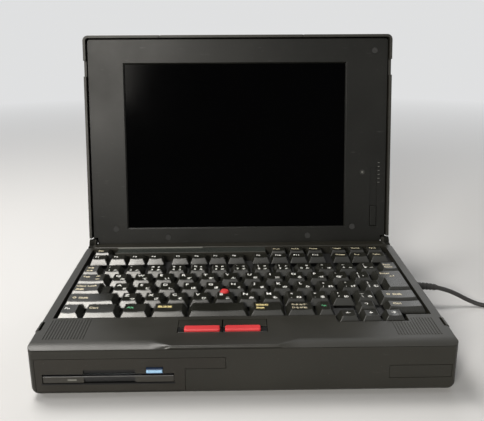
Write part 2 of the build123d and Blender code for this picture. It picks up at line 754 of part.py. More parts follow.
# System board on standoffs behind the modules, under its shield
board_front_y = drive_back + 3.0
board_back_y = tub_back_inner - 2.0
board_z = drive_bottom_z + 1.6
board_thickness = 1.6
board_top_z = board_z + board_thickness
chip_height = 3.4
with BuildPart() as system_board:
    with BuildSketch(Plane.XY.offset(board_z)):
        with Locations((0, (board_front_y + board_back_y) / 2)):
            Rectangle(2 * inside_half, board_back_y - board_front_y)
    extrude(amount=board_thickness)
    chip_y = board_front_y + (board_back_y - board_front_y) / 3
    chip_step = 2 * inside_half / 5
    for place, wide, deep in ((-2, 30, 30), (-1, 36, 24), (0, 28, 28), (1, 40, 22), (2, 24, 24)):
        with BuildSketch(Plane.XY.offset(board_top_z)):
            with Locations((place * chip_step * 0.9, chip_y)):
                Rectangle(wide, deep)
        extrude(amount=chip_height)
    for place in (-1.5, -0.5, 0.5, 1.5):
        for y in (board_front_y + 5.0, board_back_y - 5.0):
            with BuildSketch(Plane.XY.offset(drive_bottom_z)):
                with Locations((place * chip_step * 1.1, y)):
                    Circle(2.5)
            extrude(amount=board_z - drive_bottom_z)
save(system_board, "system_board")

shield_front = board_front_y + 1.0
shield_back = tub_back_inner - 12.0
shield_height = 16.0
with BuildPart() as board_shield:
    with BuildSketch(Plane.XY.offset(board_top_z)):
        with Locations((0, (shield_front + shield_back) / 2)):
            Rectangle(2 * inside_half - 20.0, shield_back - shield_front)
    extrude(amount=shield_height)
    chamfer(board_shield.faces().sort_by(Axis.Z)[-1].edges(), 2.0)
    offset(amount=-1.0, openings=board_shield.faces().sort_by(Axis.Z)[0])
save(board_shield, "board_shield")

# Connectors at the rear, behind their door
ports_front_y = rear_y - port_door_thickness - 6.4
port_height = 11.0
ports = ((-0.383, 0.182), (-0.103, 0.248), (0.159, 0.145), (0.364, 0.075))
with BuildPart() as rear_ports:
    with BuildSketch(Plane.XZ.offset(-(ports_front_y + 0.6))):
        with Locations((0, port_door_bottom_z + port_door_height / 2)):
            Rectangle(port_door_width - 2.0, port_door_height - 2.0)
    extrude(amount=0.6)
    for place, wide in ports:
        with BuildSketch(Plane.XZ.offset(-(ports_front_y + 0.6))):
            with Locations((place * port_door_width, port_door_bottom_z + port_door_height / 2)):
                Trapezoid(wide * port_door_width, port_height, 80)
        extrude(amount=-4.6)
save(rear_ports, "rear_ports")

with BuildPart() as port_door:
    with BuildSketch(Plane.XZ.offset(-(rear_y - port_door_thickness))):
        with Locations((0, port_door_bottom_z + port_door_height / 2)):
            Rectangle(port_door_width, port_door_height)
    extrude(amount=-port_door_thickness)
    fillet(port_door.edges().filter_by(Axis.X).group_by(Axis.Z)[0], port_door_thickness / 2 - 0.05)
    with BuildSketch(Plane.YZ.offset(-port_door_width / 2 - 1.4)):
        with Locations((door_y, door_pivot_z)):
            Circle(door_pin_radius)
    extrude(amount=port_door_width + 2.8)
    with BuildSketch(Plane.XZ.offset(-rear_y)):
        with Locations((0, port_door_bottom_z + port_door_height - 3.0)):
            SlotOverall(18.0, 3.0)
    extrude(amount=0.8, mode=Mode.SUBTRACT)
save(port_door, "rear_port_door")

# Power jack and power switch on the right side
with BuildPart() as power_jack:
    with BuildSketch(Plane.YZ.offset(half_width - jack_depth)):
        with Locations((jack_y, jack_z)):
            Circle(jack_radius)
            Circle(plug_radius + 0.1, mode=Mode.SUBTRACT)
    extrude(amount=jack_depth - 0.2)
    with BuildSketch(Plane.YZ.offset(half_width - jack_depth)):
        with Locations((jack_y, jack_z)):
            Circle(jack_pin_radius)
    extrude(amount=jack_depth - 1.5)
    with BuildSketch(Plane.YZ.offset(half_width - jack_depth - 1.0)):
        with Locations((jack_y, jack_z)):
            Rectangle(2 * jack_radius - 0.2, 2 * jack_radius - 0.2)
    extrude(amount=1.0)
save(power_jack, "power_jack")

switch_mid_y = switch_front + switch_length / 2
with BuildPart() as power_switch:
    with BuildSketch(Plane.YZ.offset(half_width - base_wall - 0.8)):
        with Locations((switch_mid_y, switch_slot_bottom_z + switch_slot_height / 2)):
            Rectangle(switch_length, switch_slot_height - 0.5)
    extrude(amount=base_wall + 0.8)
    with BuildSketch(Plane.XY.offset(switch_slot_bottom_z + 0.5)):
        with BuildLine():
            Polyline((half_width, switch_mid_y - 4.0), (half_width + 2.0, switch_mid_y - 3.0),
                     (half_width + 2.0, switch_mid_y + 1.5), (half_width, switch_mid_y + 4.0), close=True)
        make_face()
    extrude(amount=switch_slot_height - 1.0)
save(power_switch, "power_switch")

# Side latches that hold the closed lid
for side, name in ((-1, "left"), (1, "right")):
    with BuildPart() as latch:
        with BuildSketch(Plane.XZ.offset(-(latch_front + latch_length))):
            with BuildLine():
                Polyline((side * (half_width - latch_back), latch_bottom_z),
                         (side * (half_width - 0.1), latch_bottom_z),
                         (side * (half_width + 0.9), latch_bottom_z + 3.0),
                         (side * (half_width + 0.9), deck_bottom_z + 1.0),
                         (side * (half_width - 0.2), deck_top_z + 0.4),
                         (side * (half_width - latch_back), deck_top_z + 0.4), close=True)
            make_face()
        extrude(amount=latch_length)
    save(latch, f"lid_latch_{name}")

# Feet and screws
foot_length = 26.0
foot_width = 10.0
foot_x = half_width - bottom_rounding - foot_length / 2 - 5.5
foot_front = front_y + 20.0
foot_back = rear_y - 20.0
screw_head_radius = 2.8
screw_head_height = 0.6
with BuildPart() as rubber_feet:
    for x in (-foot_x, foot_x):
        for y in (foot_front, foot_back):
            with BuildSketch():
                with Locations((x, y)):
                    SlotOverall(foot_length, foot_width)
            extrude(amount=foot_height)
    chamfer(rubber_feet.edges().group_by(Axis.Z)[0], 0.5)
save(rubber_feet, "rubber_feet")

with BuildPart() as case_screws:
    for x in (-foot_x + foot_length, 0.0, foot_x - foot_length):
        for y in (foot_front + foot_width, foot_back - 1.4 * foot_width):
            with BuildSketch(Plane.XY.offset(bottom_z - screw_head_height)):
                with Locations((x, y)):
                    Circle(screw_head_radius)
            extrude(amount=screw_head_height)
save(case_screws, "case_screws")

# Hinges: covers on the base, arms with their pins on the lid
with BuildPart() as hinge_covers:
    for side in (-1, 1):
        start = min(side * cover_inner, side * cover_outer)
        with BuildSketch(Plane.YZ.offset(start)):
            with BuildLine():
                Polyline((cover_front_y, rim_top_z), (cover_front_y, deck_top_z - 0.2),
                         (hinge_y, deck_top_z - 0.2), (ledge_front_y, rim_top_z), close=True)
            make_face()
            with Locations((hinge_y, hinge_z)):
                Circle(cover_radius)
            with BuildLine():
                Polyline((cover_front_y, rim_top_z), (ledge_front_y, rim_top_z),
                         (ledge_front_y, rim_top_z - cover_radius), (cover_front_y, rim_top_z - cover_radius),
                         close=True)
            make_face(mode=Mode.SUBTRACT)
            with Locations((hinge_y, hinge_z)):
                Circle(hinge_pin_radius + running_gap, mode=Mode.SUBTRACT)
        extrude(amount=cover_outer - cover_inner)
        # The low front of the cover fills the corner beside the deck.
        with BuildSketch(Plane.XY.offset(rim_top_z)):
            with Locations((side * (arm_inner + cover_inner + 0.5) / 2, (cover_front_y + cover_step_y) / 2)):
                Rectangle(cover_inner + 0.5 - arm_inner, cover_step_y - cover_front_y)
        extrude(amount=deck_top_z - 0.2 - rim_top_z)
save(hinge_covers, "hinge_covers")

strap_width = 11.0
arm_outer = arm_inner + arm_width
strap_inner = arm_outer - strap_width
strap_side = arm_outer - 2.2
strap_low = 5.0
strap_length = 38.0
strap_thickness = 2.4
with BuildPart() as hinge_arms:
    for side in (-1, 1):
        pin_start = min(side * deck_ear_inner, side * (cover_outer - 0.6))
        with BuildSketch(Plane.YZ.offset(pin_start)):
            with Locations((hinge_y, hinge_z)):
                Circle(hinge_pin_radius)
        extrude(amount=cover_outer - 0.6 - deck_ear_inner)
        arm_start = min(side * arm_inner, side * (arm_inner + arm_width))
        with BuildSketch(Plane.YZ.offset(arm_start)):
            with Locations((hinge_y, hinge_z)):
                Circle(arm_radius)
        extrude(amount=arm_width)
strap_floor = lid_back - lid_depth
with BuildPart(lid_plane) as hinge_straps:
    for side in (-1, 1):
        with BuildSketch(lid_plane.offset(strap_floor)):
            with Locations((side * (arm_inner + arm_outer) / 2, arm_room / 2)):
                Rectangle(arm_width, arm_room - 0.8)
        extrude(amount=-strap_floor)
        with BuildSketch(lid_plane.offset(strap_floor)):
            with Locations((side * (strap_inner + arm_outer) / 2, (strap_low + arm_room) / 2)):
                Rectangle(strap_width, strap_low + arm_room - 0.8)
            with Locations((side * (strap_inner + strap_side) / 2, strap_low + strap_length / 2)):
                Rectangle(strap_side - strap_inner, strap_length)
            for share in (0.25, 0.75):
                with Locations((side * (strap_inner + strap_side) / 2, strap_low + share * strap_length)):
                    Circle(1.6, mode=Mode.SUBTRACT)
        extrude(amount=strap_thickness)
with BuildPart() as hinge_brackets:
    add(hinge_arms.part)
    add(hinge_straps.part)
save(hinge_brackets, "hinge_brackets")

# Lid: a tray with the bezel sunk in its rim
lid_mid = (lid_foot + lid_length) / 2
latch_notch_low = hinge_y - latch_front - latch_length - 1.5
with BuildPart(lid_plane) as lid_cover:
    with BuildSketch(lid_plane.offset(-lid_depth)):
        with Locations((0, lid_mid)):
            RectangleRounded(base_width, lid_length - lid_foot, corner_radius)
    extrude(amount=lid_depth)
    fillet(lid_cover.faces().sort_by(lid_normal)[0].edges(), lid_rounding - 0.5)
    with BuildSketch(lid_plane.offset(-lid_depth + lid_back)):
        with Locations((0, lid_mid)):
            RectangleRounded(base_width - 2 * lid_wall, lid_length - lid_foot - 2 * lid_wall,
                             corner_radius - lid_wall)
    extrude(amount=lid_depth, mode=Mode.SUBTRACT)
    # The lower edge stays low under the bezel.
    with BuildSketch(lid_plane.offset(-bezel_depth - bezel_thickness - 0.1)):
        with Locations((0, lid_foot + lid_wall / 2)):
            Rectangle(base_width - 2 * lid_wall, 2 * lid_wall)
    extrude(amount=lid_depth, mode=Mode.SUBTRACT)
    # Room for the hinge covers and arms
    for side in (-1, 1):
        with BuildSketch(lid_plane.offset(-lid_depth + lid_back)):
            with Locations((side * (notch_inner + notch_outer) / 2, lid_foot)):
                Rectangle(notch_outer - notch_inner, 2 * (notch_top - lid_foot))
        extrude(amount=lid_depth, mode=Mode.SUBTRACT)
    # Notches in the rim for the latches, and two ticks in its top edge
    for side in (-1, 1):
        with BuildSketch(lid_plane.offset(-bezel_depth)):
            with Locations((side * (half_width - lid_wall / 2), latch_notch_low + (latch_length + 3.0) / 2)):
                Rectangle(2 * lid_wall, latch_length + 3.0)
        extrude(amount=lid_depth, mode=Mode.SUBTRACT)
    for x in (-75.0, 62.7):
        with BuildSketch(lid_plane.offset(-1.5)):
            with Locations((x, lid_length)):
                Rectangle(1.6, 2 * lid_wall)
        extrude(amount=lid_depth, mode=Mode.SUBTRACT)
save(lid_cover, "lid_cover")

bezel_half = half_width - lid_wall - bezel_gap
bezel_top = lid_length - lid_wall - bezel_gap
bezel_bottom = lid_foot + 0.3
slider_slot_x = bezel_half - 11.8
slider_slot_width = 7.0
slider_slot_low = 14.0
slider_slot_high = 72.8
knob_length = 20.0
knob_travel = slider_slot_high - slider_slot_low - knob_length - 0.6
screw_edge = 12.6
screw_places = [(-bezel_half + 22.5, bezel_bottom + 15.8), (-71.0, bezel_bottom + 7.0),
                (68.0, bezel_bottom + 7.5), (bezel_half - 32.6, bezel_bottom + 16.2),
                (bezel_half - screw_edge, bezel_top - 11.5)]
screw_cap_radius = 2.9
with BuildPart(lid_plane) as display_bezel:
    with BuildSketch(lid_plane.offset(-bezel_depth - bezel_thickness)):
        with Locations((0, (bezel_top + bezel_bottom) / 2)):
            RectangleRounded(2 * bezel_half, bezel_top - bezel_bottom, corner_radius - lid_wall)
        with Locations((window_shift, panel_middle_h)):
            Rectangle(window_width, window_height, mode=Mode.SUBTRACT)
        for side in (-1, 1):
            with Locations((side * (notch_inner + notch_outer) / 2, bezel_bottom)):
                Rectangle(notch_outer - notch_inner, 2 * (notch_top - bezel_bottom), mode=Mode.SUBTRACT)
    extrude(amount=bezel_thickness)
    chamfer(display_bezel.faces().sort_by(lid_normal)[-1].inner_wires()[0].edges(), 1.2)
    with BuildSketch(lid_plane.offset(-bezel_depth - 1.4)):
        with Locations((slider_slot_x, (slider_slot_low + slider_slot_high) / 2)):
            Rectangle(slider_slot_width, slider_slot_high - slider_slot_low)
    extrude(amount=3, mode=Mode.SUBTRACT)
    with BuildSketch(lid_plane.offset(-bezel_depth - 0.6)):
        with Locations(screw_places):
            Circle(screw_cap_radius)
    extrude(amount=3, mode=Mode.SUBTRACT)
save(display_bezel, "display_bezel")

with BuildPart(lid_plane) as screw_caps:
    with BuildSketch(lid_plane.offset(-bezel_depth - 0.6)):
        with Locations(screw_places):
            Circle(screw_cap_radius - 0.1)
    extrude(amount=0.9)
save(screw_caps, "bezel_screw_caps")

with BuildPart(lid_plane) as brightness_slider:
    with BuildSketch(lid_plane.offset(-bezel_depth - 1.3)):
        with Locations((slider_slot_x, slider_slot_low + 0.3 + knob_length / 2)):
            Rectangle(slider_slot_width - 0.6, knob_length)
    extrude(amount=2.3)
    chamfer(brightness_slider.faces().sort_by(lid_normal)[-1].edges(), 0.5)
save(brightness_slider, "brightness_slider")

panel_back = lid_back - lid_depth
panel_front = -bezel_depth - bezel_thickness - 0.2
panel_width = window_width + 10.0
panel_height = window_height + 8.0
frame_rim = 1.2
frame_right = window_shift + panel_width / 2 + frame_rim + 0.2
inverter_left = frame_right + 5.4
inverter_right = half_width - lid_wall - 8.1
inverter_middle_x = (inverter_left + inverter_right) / 2
inverter_length = 0.6875 * window_height
inverter_middle_h = panel_middle_h + 0.1 * window_height
inverter_part = inverter_length / 4
with BuildPart(lid_plane) as lcd_panel:
    with BuildSketch(lid_plane.offset(panel_front - 3.6)):
        with Locations((window_shift, panel_middle_h)):
            Rectangle(panel_width, panel_height)
    extrude(amount=3.6)
save(lcd_panel, "lcd_panel")

with BuildPart(lid_plane) as lcd_frame:
    with BuildSketch(lid_plane.offset(panel_back)):
        with Locations((window_shift, panel_middle_h)):
            Rectangle(panel_width + 2 * frame_rim + 0.4, panel_height + 2 * frame_rim + 0.4)
    extrude(amount=panel_front - panel_back - 0.4)
    with BuildSketch(lid_plane.offset(panel_front - 3.6)):
        with Locations((window_shift, panel_middle_h)):
            Rectangle(panel_width + 0.4, panel_height + 0.4)
    extrude(amount=lid_depth, mode=Mode.SUBTRACT)
save(lcd_frame, "lcd_frame")

with BuildPart(lid_plane) as backlight_board:
    with BuildSketch(lid_plane.offset(panel_back)):
        with Locations((inverter_middle_x, inverter_middle_h)):
            Rectangle(inverter_right - inverter_left, inverter_length)
    extrude(amount=1.6)
    for place in (-1, 0, 1):
        with BuildSketch(lid_plane.offset(panel_back + 1.6)):
            with Locations((inverter_middle_x, inverter_middle_h + place * inverter_part)):
                Rectangle(0.6 * (inverter_right - inverter_left), inverter_part - 9.5)
        extrude(amount=3.4)
save(backlight_board, "backlight_board")

# Power lead: a moulded plug, a ribbed strain relief, the lead and its coil, and the far connector
cord_radius = 2.0
turn_spread = 5.4
layer_rise = 5.0
floor_z = cord_radius + 0.1
plug_tip_x = half_width - jack_depth + 1.0
plug_end_x = half_width + 13.0
relief_end_x = half_width + 29.5
relief_droop = 1.6
relief_angle = radians(14.0)
with BuildPart() as dc_plug:
    with BuildSketch(Plane.XZ.offset(-jack_y)):
        with BuildLine():
            Polyline((plug_tip_x, jack_z), (plug_tip_x, jack_z + plug_radius),
                     (half_width + 0.3, jack_z + plug_radius), (half_width + 0.3, jack_z + 4.8),
                     (half_width + 9.0, jack_z + 4.8), (plug_end_x, jack_z + 3.4), (plug_end_x, jack_z),
                     close=True)
        make_face()
    revolve(axis=Axis((0, jack_y, jack_z), (1, 0, 0)))
    with BuildSketch(Plane.YZ.offset(plug_tip_x)):
        with Locations((jack_y, jack_z)):
            Circle(jack_pin_radius + 0.1)
    extrude(amount=jack_depth - 2.0, mode=Mode.SUBTRACT)
save(dc_plug, "dc_plug")


def relief_plane(share):
    """The plane of the strain relief's section, which droops under the lead's weight."""
    x = plug_end_x + share * (relief_end_x - plug_end_x)
    z = jack_z - relief_droop * share ** 2
    tilt = relief_angle * share
    return Plane(origin=(x, jack_y, z), x_dir=(0, 1, 0), z_dir=(cos(tilt), 0, -sin(tilt)))


relief_ribs = 5
relief_sections = []
for rib in range(relief_ribs):
    for part_of_rib, swell in ((0.0, 0.55), (0.55, 0.55), (0.6, 0.0), (0.95, 0.0)):
        share = (rib + part_of_rib) / relief_ribs
        radius = 2.9 - 0.6 * share + swell * (1 - 0.3 * share)
        with BuildSketch(relief_plane(share)) as ring:
            Circle(radius)
        relief_sections.append(ring.sketch)
with BuildSketch(relief_plane(1.0)) as ring:
    Circle(cord_radius + 0.3)
relief_sections.append(ring.sketch)
with BuildPart() as strain_relief:
    add(relief_sections)
    loft(ruled=True)
save(strain_relief, "strain_relief")

relief_tip = relief_plane(1.0).origin
coil_middle_x = half_width + 131.5
coil_middle_y = jack_y + 10.0
coil_outer_radius = 28.6
coil_layers = 4
turns_per_layer = 3
coil_turns = coil_layers * turns_per_layer
end_straight = 2 * cord_radius
entry_y = coil_middle_y - coil_outer_radius
cord_points = [
    (relief_tip.X, jack_y, relief_tip.Z),
    (relief_tip.X + 9.0, jack_y, relief_tip.Z - 9.0 * tan(relief_angle)),
    (relief_tip.X + 19.0, jack_y - 0.6, relief_tip.Z - 6.6),
    (relief_tip.X + 29.0, jack_y - 1.6, relief_tip.Z - 12.0),
    (relief_tip.X + 40.0, jack_y - 3.6, floor_z),
    (relief_tip.X + 53.0, jack_y - 7.4, floor_z),
    (relief_tip.X + 66.0, jack_y - 12.4, floor_z),
    (relief_tip.X + 78.0, entry_y, floor_z),
    (coil_middle_x - end_straight, entry_y, floor_z),
]
cord_vectors = [Vector(*point) for point in cord_points]
cord_radii = []
for before, corner, after in zip(cord_vectors, cord_vectors[1:], cord_vectors[2:]):
    turn = radians((corner - before).get_angle(after - corner))
    shorter = min((corner - before).length, (after - corner).length)
    cord_radii.append(0.45 * shorter / tan(turn / 2))
print("cord radii", [round(radius, 1) for radius in cord_radii])
with BuildPart() as cord:
    with BuildLine() as cord_path:
        FilletPolyline(*cord_points, radius=cord_radii)
    with BuildSketch(relief_plane(1.0)):
        Circle(cord_radius)
    sweep()
cord_length = cord_path.wires()[0].length
print("cord length", round(cord_length, 1), "volume share",
      round(cord.part.volume / (pi * cord_radius ** 2 * cord_length), 4))
save(cord, "power_cord")


def coil_place(turns):
    """A point of the coil's line and its direction, a number of turns from the coil's start."""
    layer = min(int(turns / turns_per_layer), coil_layers - 1)
    inside = turns - layer * turns_per_layer
    spiral_turns = turns_per_layer - 0.5
    last = layer == coil_layers - 1
    run = inside if last else min(inside, spiral_turns)
    outward = layer % 2 == 1
    start_radius = coil_outer_radius - turn_spread * spiral_turns if outward else coil_outer_radius
    rate = turn_spread if outward else -turn_spread
    radius = start_radius + rate * run
    climbed = 0.0 if last or inside <= spiral_turns else 1.0
    if not last and inside >= spiral_turns:
        rate = 0.0
    if inside == 0:
        rate = 0.0
        climbed = 0.0
    angle = 2 * pi * turns - pi / 2
    place = Vector(coil_middle_x + radius * cos(angle), coil_middle_y + radius * sin(angle),
                   floor_z + layer_rise * (layer + climbed))
    along = Vector(rate * cos(angle) - 2 * pi * radius * sin(angle),
                   rate * sin(angle) + 2 * pi * radius * cos(angle), 0)
    return place, along.normalized()


def biarc_middle(start, start_way, end, end_way):
    """Where the two arcs meet that join two points along their directions without a kink."""
    chord = end - start
    both = start_way + end_way
    spread = 2 * (1 - start_way.dot(end_way))
    across = chord.dot(both)
    reach = (-across + sqrt(across ** 2 + spread * chord.dot(chord))) / spread
    return (start + start_way * reach + end - end_way * reach) * 0.5


start_way = Vector(1, 0, 0)
halves = [coil_place(half / 2) for half in range(2 * coil_turns + 1)]
halves[0] = (halves[0][0], start_way)
halves[-1] = (halves[-1][0], start_way)
with BuildLine() as coil_path:
    Line(halves[0][0] - start_way * end_straight, halves[0][0])
    for (start, way), (end, end_way) in zip(halves, halves[1:]):
        meet = biarc_middle(start, way, end, end_way)
        first = TangentArc(start, meet, tangent=way)
        TangentArc(meet, end, tangent=first % 1)
    Line(halves[-1][0], halves[-1][0] + start_way * end_straight)
coil_line = coil_path.wires()[0]
coil_length = coil_line.length
samples = int(coil_length / 2.0)
spots = [coil_line.position_at(i / samples) for i in range(samples + 1)]
spot_step = coil_length / samples
skip = int(40.0 / spot_step)
nearest = min(
    sqrt((spots[i].X - spots[j].X) ** 2 + (spots[i].Y - spots[j].Y) ** 2 + (spots[i].Z - spots[j].Z) ** 2)
    for i in range(len(spots)) for j in range(i + skip, len(spots)))
print("coil length", round(coil_length, 1), "least gap", round(nearest - 2 * cord_radius, 3))
with BuildPart() as cord_coil:
    with BuildSketch(Plane(origin=coil_line.position_at(0), x_dir=(0, 1, 0), z_dir=(1, 0, 0))):
        Circle(cord_radius)
    sweep(path=coil_line)
coil_share = cord_coil.part.volume / (pi * cord_radius ** 2 * coil_length)
print("coil volume share", round(coil_share, 4))
save(cord_coil, "power_cord_coil")

# The lead's far end comes down from the coil into a moulded connector that lies on the table.
connector_radius = 5.0
tail_start = halves[-1][0] + start_way * end_straight
tail_drop = tail_start.Z - connector_radius - 0.1
tail_steps = [(0.0, 0.0), (9.0, 0.0), (21.0, 0.3), (33.0, 0.72), (45.0, 1.0), (57.0, 1.0)]
tail_points = [(tail_start.X + x, tail_start.Y, tail_start.Z - share * tail_drop) for x, share in tail_steps]
tail_vectors = [Vector(*point) for point in tail_points]
tail_radii = []
for before, corner, after in zip(tail_vectors, tail_vectors[1:], tail_vectors[2:]):
    turn = radians((corner - before).get_angle(after - corner))
    shorter = min((corner - before).length, (after - corner).length)
    tail_radii.append(0.45 * shorter / tan(turn / 2))
print("tail radii", [round(radius, 1) for radius in tail_radii])
with BuildPart() as cord_tail:
    with BuildLine() as tail_path:
        FilletPolyline(*tail_points, radius=tail_radii)
    with BuildSketch(Plane(origin=tail_start, x_dir=(0, 1, 0), z_dir=(1, 0, 0))):
        Circle(cord_radius)
    sweep()
tail_length = tail_path.wires()[0].length
print("tail length", round(tail_length, 1), "volume share",
      round(cord_tail.part.volume / (pi * cord_radius ** 2 * tail_length), 4))
print("whole lead", round(cord_length + coil_length + tail_length, 1))
save(cord_tail, "power_cord_tail")

connector_z = connector_radius + 0.1
connector_x = tail_points[-1][0]
with BuildPart() as connector:
    with BuildSketch(Plane.XZ.offset(-tail_start.Y)):
        with BuildLine():
            Polyline((connector_x, connector_z), (connector_x, connector_z + 2.6),
                     (connector_x + 9.0, connector_z + 3.6),
                     (connector_x + 10.0, connector_z + connector_radius),
                     (connector_x + 29.0, connector_z + connector_radius),
                     (connector_x + 29.0, connector_z + 4.2), (connector_x + 40.0, connector_z + 4.2),
                     (connector_x + 40.0, connector_z), close=True)
        make_face()
    revolve(axis=Axis((0, tail_start.Y, connector_z), (1, 0, 0)))
    with BuildSketch(Plane.YZ.offset(connector_x + 40.0)):
        with Locations((tail_start.Y, connector_z)):
            Circle(3.2)
            Circle(1.0, mode=Mode.SUBTRACT)
    extrude(amount=-9.0, mode=Mode.SUBTRACT)
save(connector, "power_cord_connector")
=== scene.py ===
import bmesh
import bpy
import json
import math
from mathutils import Matrix, Vector


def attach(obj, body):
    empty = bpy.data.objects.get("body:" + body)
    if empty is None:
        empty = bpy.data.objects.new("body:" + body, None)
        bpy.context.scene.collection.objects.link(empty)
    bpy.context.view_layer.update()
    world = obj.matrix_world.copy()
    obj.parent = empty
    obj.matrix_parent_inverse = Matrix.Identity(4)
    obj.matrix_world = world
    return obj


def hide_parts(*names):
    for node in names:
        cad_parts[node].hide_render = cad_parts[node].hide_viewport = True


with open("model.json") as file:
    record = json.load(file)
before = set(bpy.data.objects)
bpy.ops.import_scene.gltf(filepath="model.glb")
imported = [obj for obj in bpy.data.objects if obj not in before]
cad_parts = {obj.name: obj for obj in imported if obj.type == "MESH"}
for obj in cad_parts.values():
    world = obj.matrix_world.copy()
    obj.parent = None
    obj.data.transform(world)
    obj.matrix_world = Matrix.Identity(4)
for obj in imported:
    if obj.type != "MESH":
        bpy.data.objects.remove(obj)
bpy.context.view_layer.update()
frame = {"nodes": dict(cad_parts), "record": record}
nodes = frame["nodes"]
MM = 0.001


def mm(*values):
    """Millimetres to metres."""
    return tuple(v * MM for v in values)


# Sizes shared with the frame, in millimetres
LEAN = math.radians(9.5)
HINGE_Y = 75.529
HINGE_Z = 41.0
FACE_Y = -124.771
DECK_TOP = 40.5
KEY_TOP = 43.4
CAP_SPACING = 0.85
PITCH = 18.75
ROW_PITCH = 19.4
BOARD_LEFT = -140.625
ROW_FRONT = (-81.471, -62.071, -42.671, -23.271, -3.871)
FUNCTION_FRONT = 25.029
ESCAPE_FRONT = 41.429
SMALL_PITCH = 17.3
SMALL_DEPTH = 15.4
GROUP_LEFT = (-138.425, -64.025, 10.375, 84.775)
ARROW_LEFT = 70.3125
ARROW_PITCH = 17.0
ARROW_DEPTH = 14.7
ARROW_FRONT = -91.871
CTRL_LEFT = 109.4125


def lid_point(x, h, n):
    """A point of the open lid: x across, h up from the hinge, n out of its face."""
    return Vector(mm(x, HINGE_Y + h * math.sin(LEAN) - n * math.cos(LEAN),
                     HINGE_Z + h * math.cos(LEAN) + n * math.sin(LEAN)))


# ------------------------------------------------------------------ camera
CAMERA_PLACE = mm(-7.695, -500.830, 255.541)
CAMERA_SHIFT = (0.00275, -0.02917)
SENSOR_WIDTH = 36.0
FOCAL_LENGTH = 45.905
YAW, PITCH_DOWN, ROLL = (math.radians(a) for a in (0.8885, 16.2145, -0.2882))
ahead = Vector((math.sin(YAW) * math.cos(PITCH_DOWN), math.cos(YAW) * math.cos(PITCH_DOWN),
                -math.sin(PITCH_DOWN)))
right = Vector((math.cos(YAW), -math.sin(YAW), 0))
up = right.cross(ahead)
cam_x = right * math.cos(ROLL) + up * math.sin(ROLL)
cam_y = -right * math.sin(ROLL) + up * math.cos(ROLL)
camera_data = bpy.data.cameras.new("camera")
camera_data.sensor_width = SENSOR_WIDTH
camera_data.lens = FOCAL_LENGTH
camera_data.shift_x, camera_data.shift_y = CAMERA_SHIFT
camera_data.clip_start = 0.01
camera = bpy.data.objects.new("camera", camera_data)
turn = Matrix((cam_x, cam_y, -ahead)).transposed().to_4x4()
camera.matrix_world = Matrix.Translation(CAMERA_PLACE) @ turn
bpy.context.scene.collection.objects.link(camera)
bpy.context.scene.camera = camera

# ------------------------------------------------------------------ light
scene = bpy.context.scene
scene.view_settings.view_transform = "Standard"


# Name, place, the point it faces, width, height, power and colour
LAMPS = (
    ("window_low_left", (-0.88, -2.28, 0.96), (-0.04, 0.0, 0.05), 0.80, 0.52, 54.0,
     (1.0, 0.96, 0.89)),
    ("softbox_left", (-0.85, -0.25, 0.75), (0, 0, 0.06), 0.5, 0.5, 2.4, (1.0, 0.98, 0.96)),
    ("softbox_top", (-0.38, 0.20, 1.00), (-0.10, -0.10, 0.03), 0.45, 0.50, 8.5,
     (1.0, 0.97, 0.93)),
    ("softbox_rear", (0.25, 1.55, 1.25), (0, 0.1, 0.10), 0.8, 0.8, 5.5, (0.98, 0.98, 0.98)),
)
STUDIO_STRENGTH = 0.07
BACKGROUND = (0.74, 0.745, 0.75, 1)


def area_light(name, place, target, wide, high, power, colour):
    """A soft rectangular lamp that faces a point."""
    data = bpy.data.lights.new(name, "AREA")
    data.shape = "RECTANGLE"
    data.size = wide
    data.size_y = high
    data.energy = power
    data.color = colour
    lamp = bpy.data.objects.new(name, data)
    lamp.location = place
    lamp.rotation_euler = (Vector(target) - Vector(place)).to_track_quat("-Z", "Y").to_euler()
    scene.collection.objects.link(lamp)


for lamp in LAMPS:
    area_light(*lamp)

# The world lights weakly and shows the plain background to the camera and to reflections.
world = bpy.data.worlds.new("world")
world.use_nodes = True
scene.world = world
tree = world.node_tree
tree.nodes.clear()
path = tree.nodes.new("ShaderNodeLightPath")
studio = tree.nodes.new("ShaderNodeBackground")
studio.inputs["Color"].default_value = (0.94, 0.97, 1.0, 1)
studio.inputs["Strength"].default_value = STUDIO_STRENGTH
seen = tree.nodes.new("ShaderNodeBackground")
seen.inputs["Color"].default_value = BACKGROUND
seen.inputs["Strength"].default_value = 1.0
mix = tree.nodes.new("ShaderNodeMixShader")
out = tree.nodes.new("ShaderNodeOutputWorld")
backdrop = tree.nodes.new("ShaderNodeMath")
backdrop.operation = "MAXIMUM"
tree.links.new(path.outputs["Is Camera Ray"], backdrop.inputs[0])
tree.links.new(path.outputs["Is Glossy Ray"], backdrop.inputs[1])
tree.links.new(backdrop.outputs[0], mix.inputs[0])
tree.links.new(studio.outputs[0], mix.inputs[1])
tree.links.new(seen.outputs[0], mix.inputs[2])
tree.links.new(mix.outputs[0], out.inputs[0])


# ------------------------------------------------------------------ materials
DUST_COLOUR = (0.30, 0.29, 0.27)
SCRATCH_COLOUR = (0.22, 0.22, 0.21)
SCRATCH_SHARE = 0.35
# Painted shade: dark colours that stand in for the shade in slits, recesses and wells
SLIT_PAINTED_SHADE = (0.002, 0.002, 0.002)
RECESS_PAINTED_SHADE = (0.003, 0.003, 0.003)
WELL_PAINTED_SHADE = (0.0015, 0.0015, 0.0015)
MASK_EDGE = 0.15


def shader(name):
    """A new material with its node tree and its principled shader."""
    mat = bpy.data.materials.new(name)
    mat.use_nodes = True
    return mat, mat.node_tree, mat.node_tree.nodes["Principled BSDF"]


def noise(tree, vector, scale, detail=3.0, rough=0.55):
    """The value of a noise texture."""
    node = tree.nodes.new("ShaderNodeTexNoise")
    node.inputs["Scale"].default_value = scale
    node.inputs["Detail"].default_value = detail
    node.inputs["Roughness"].default_value = rough
    tree.links.new(vector, node.inputs["Vector"])
    return node.outputs["Fac"]


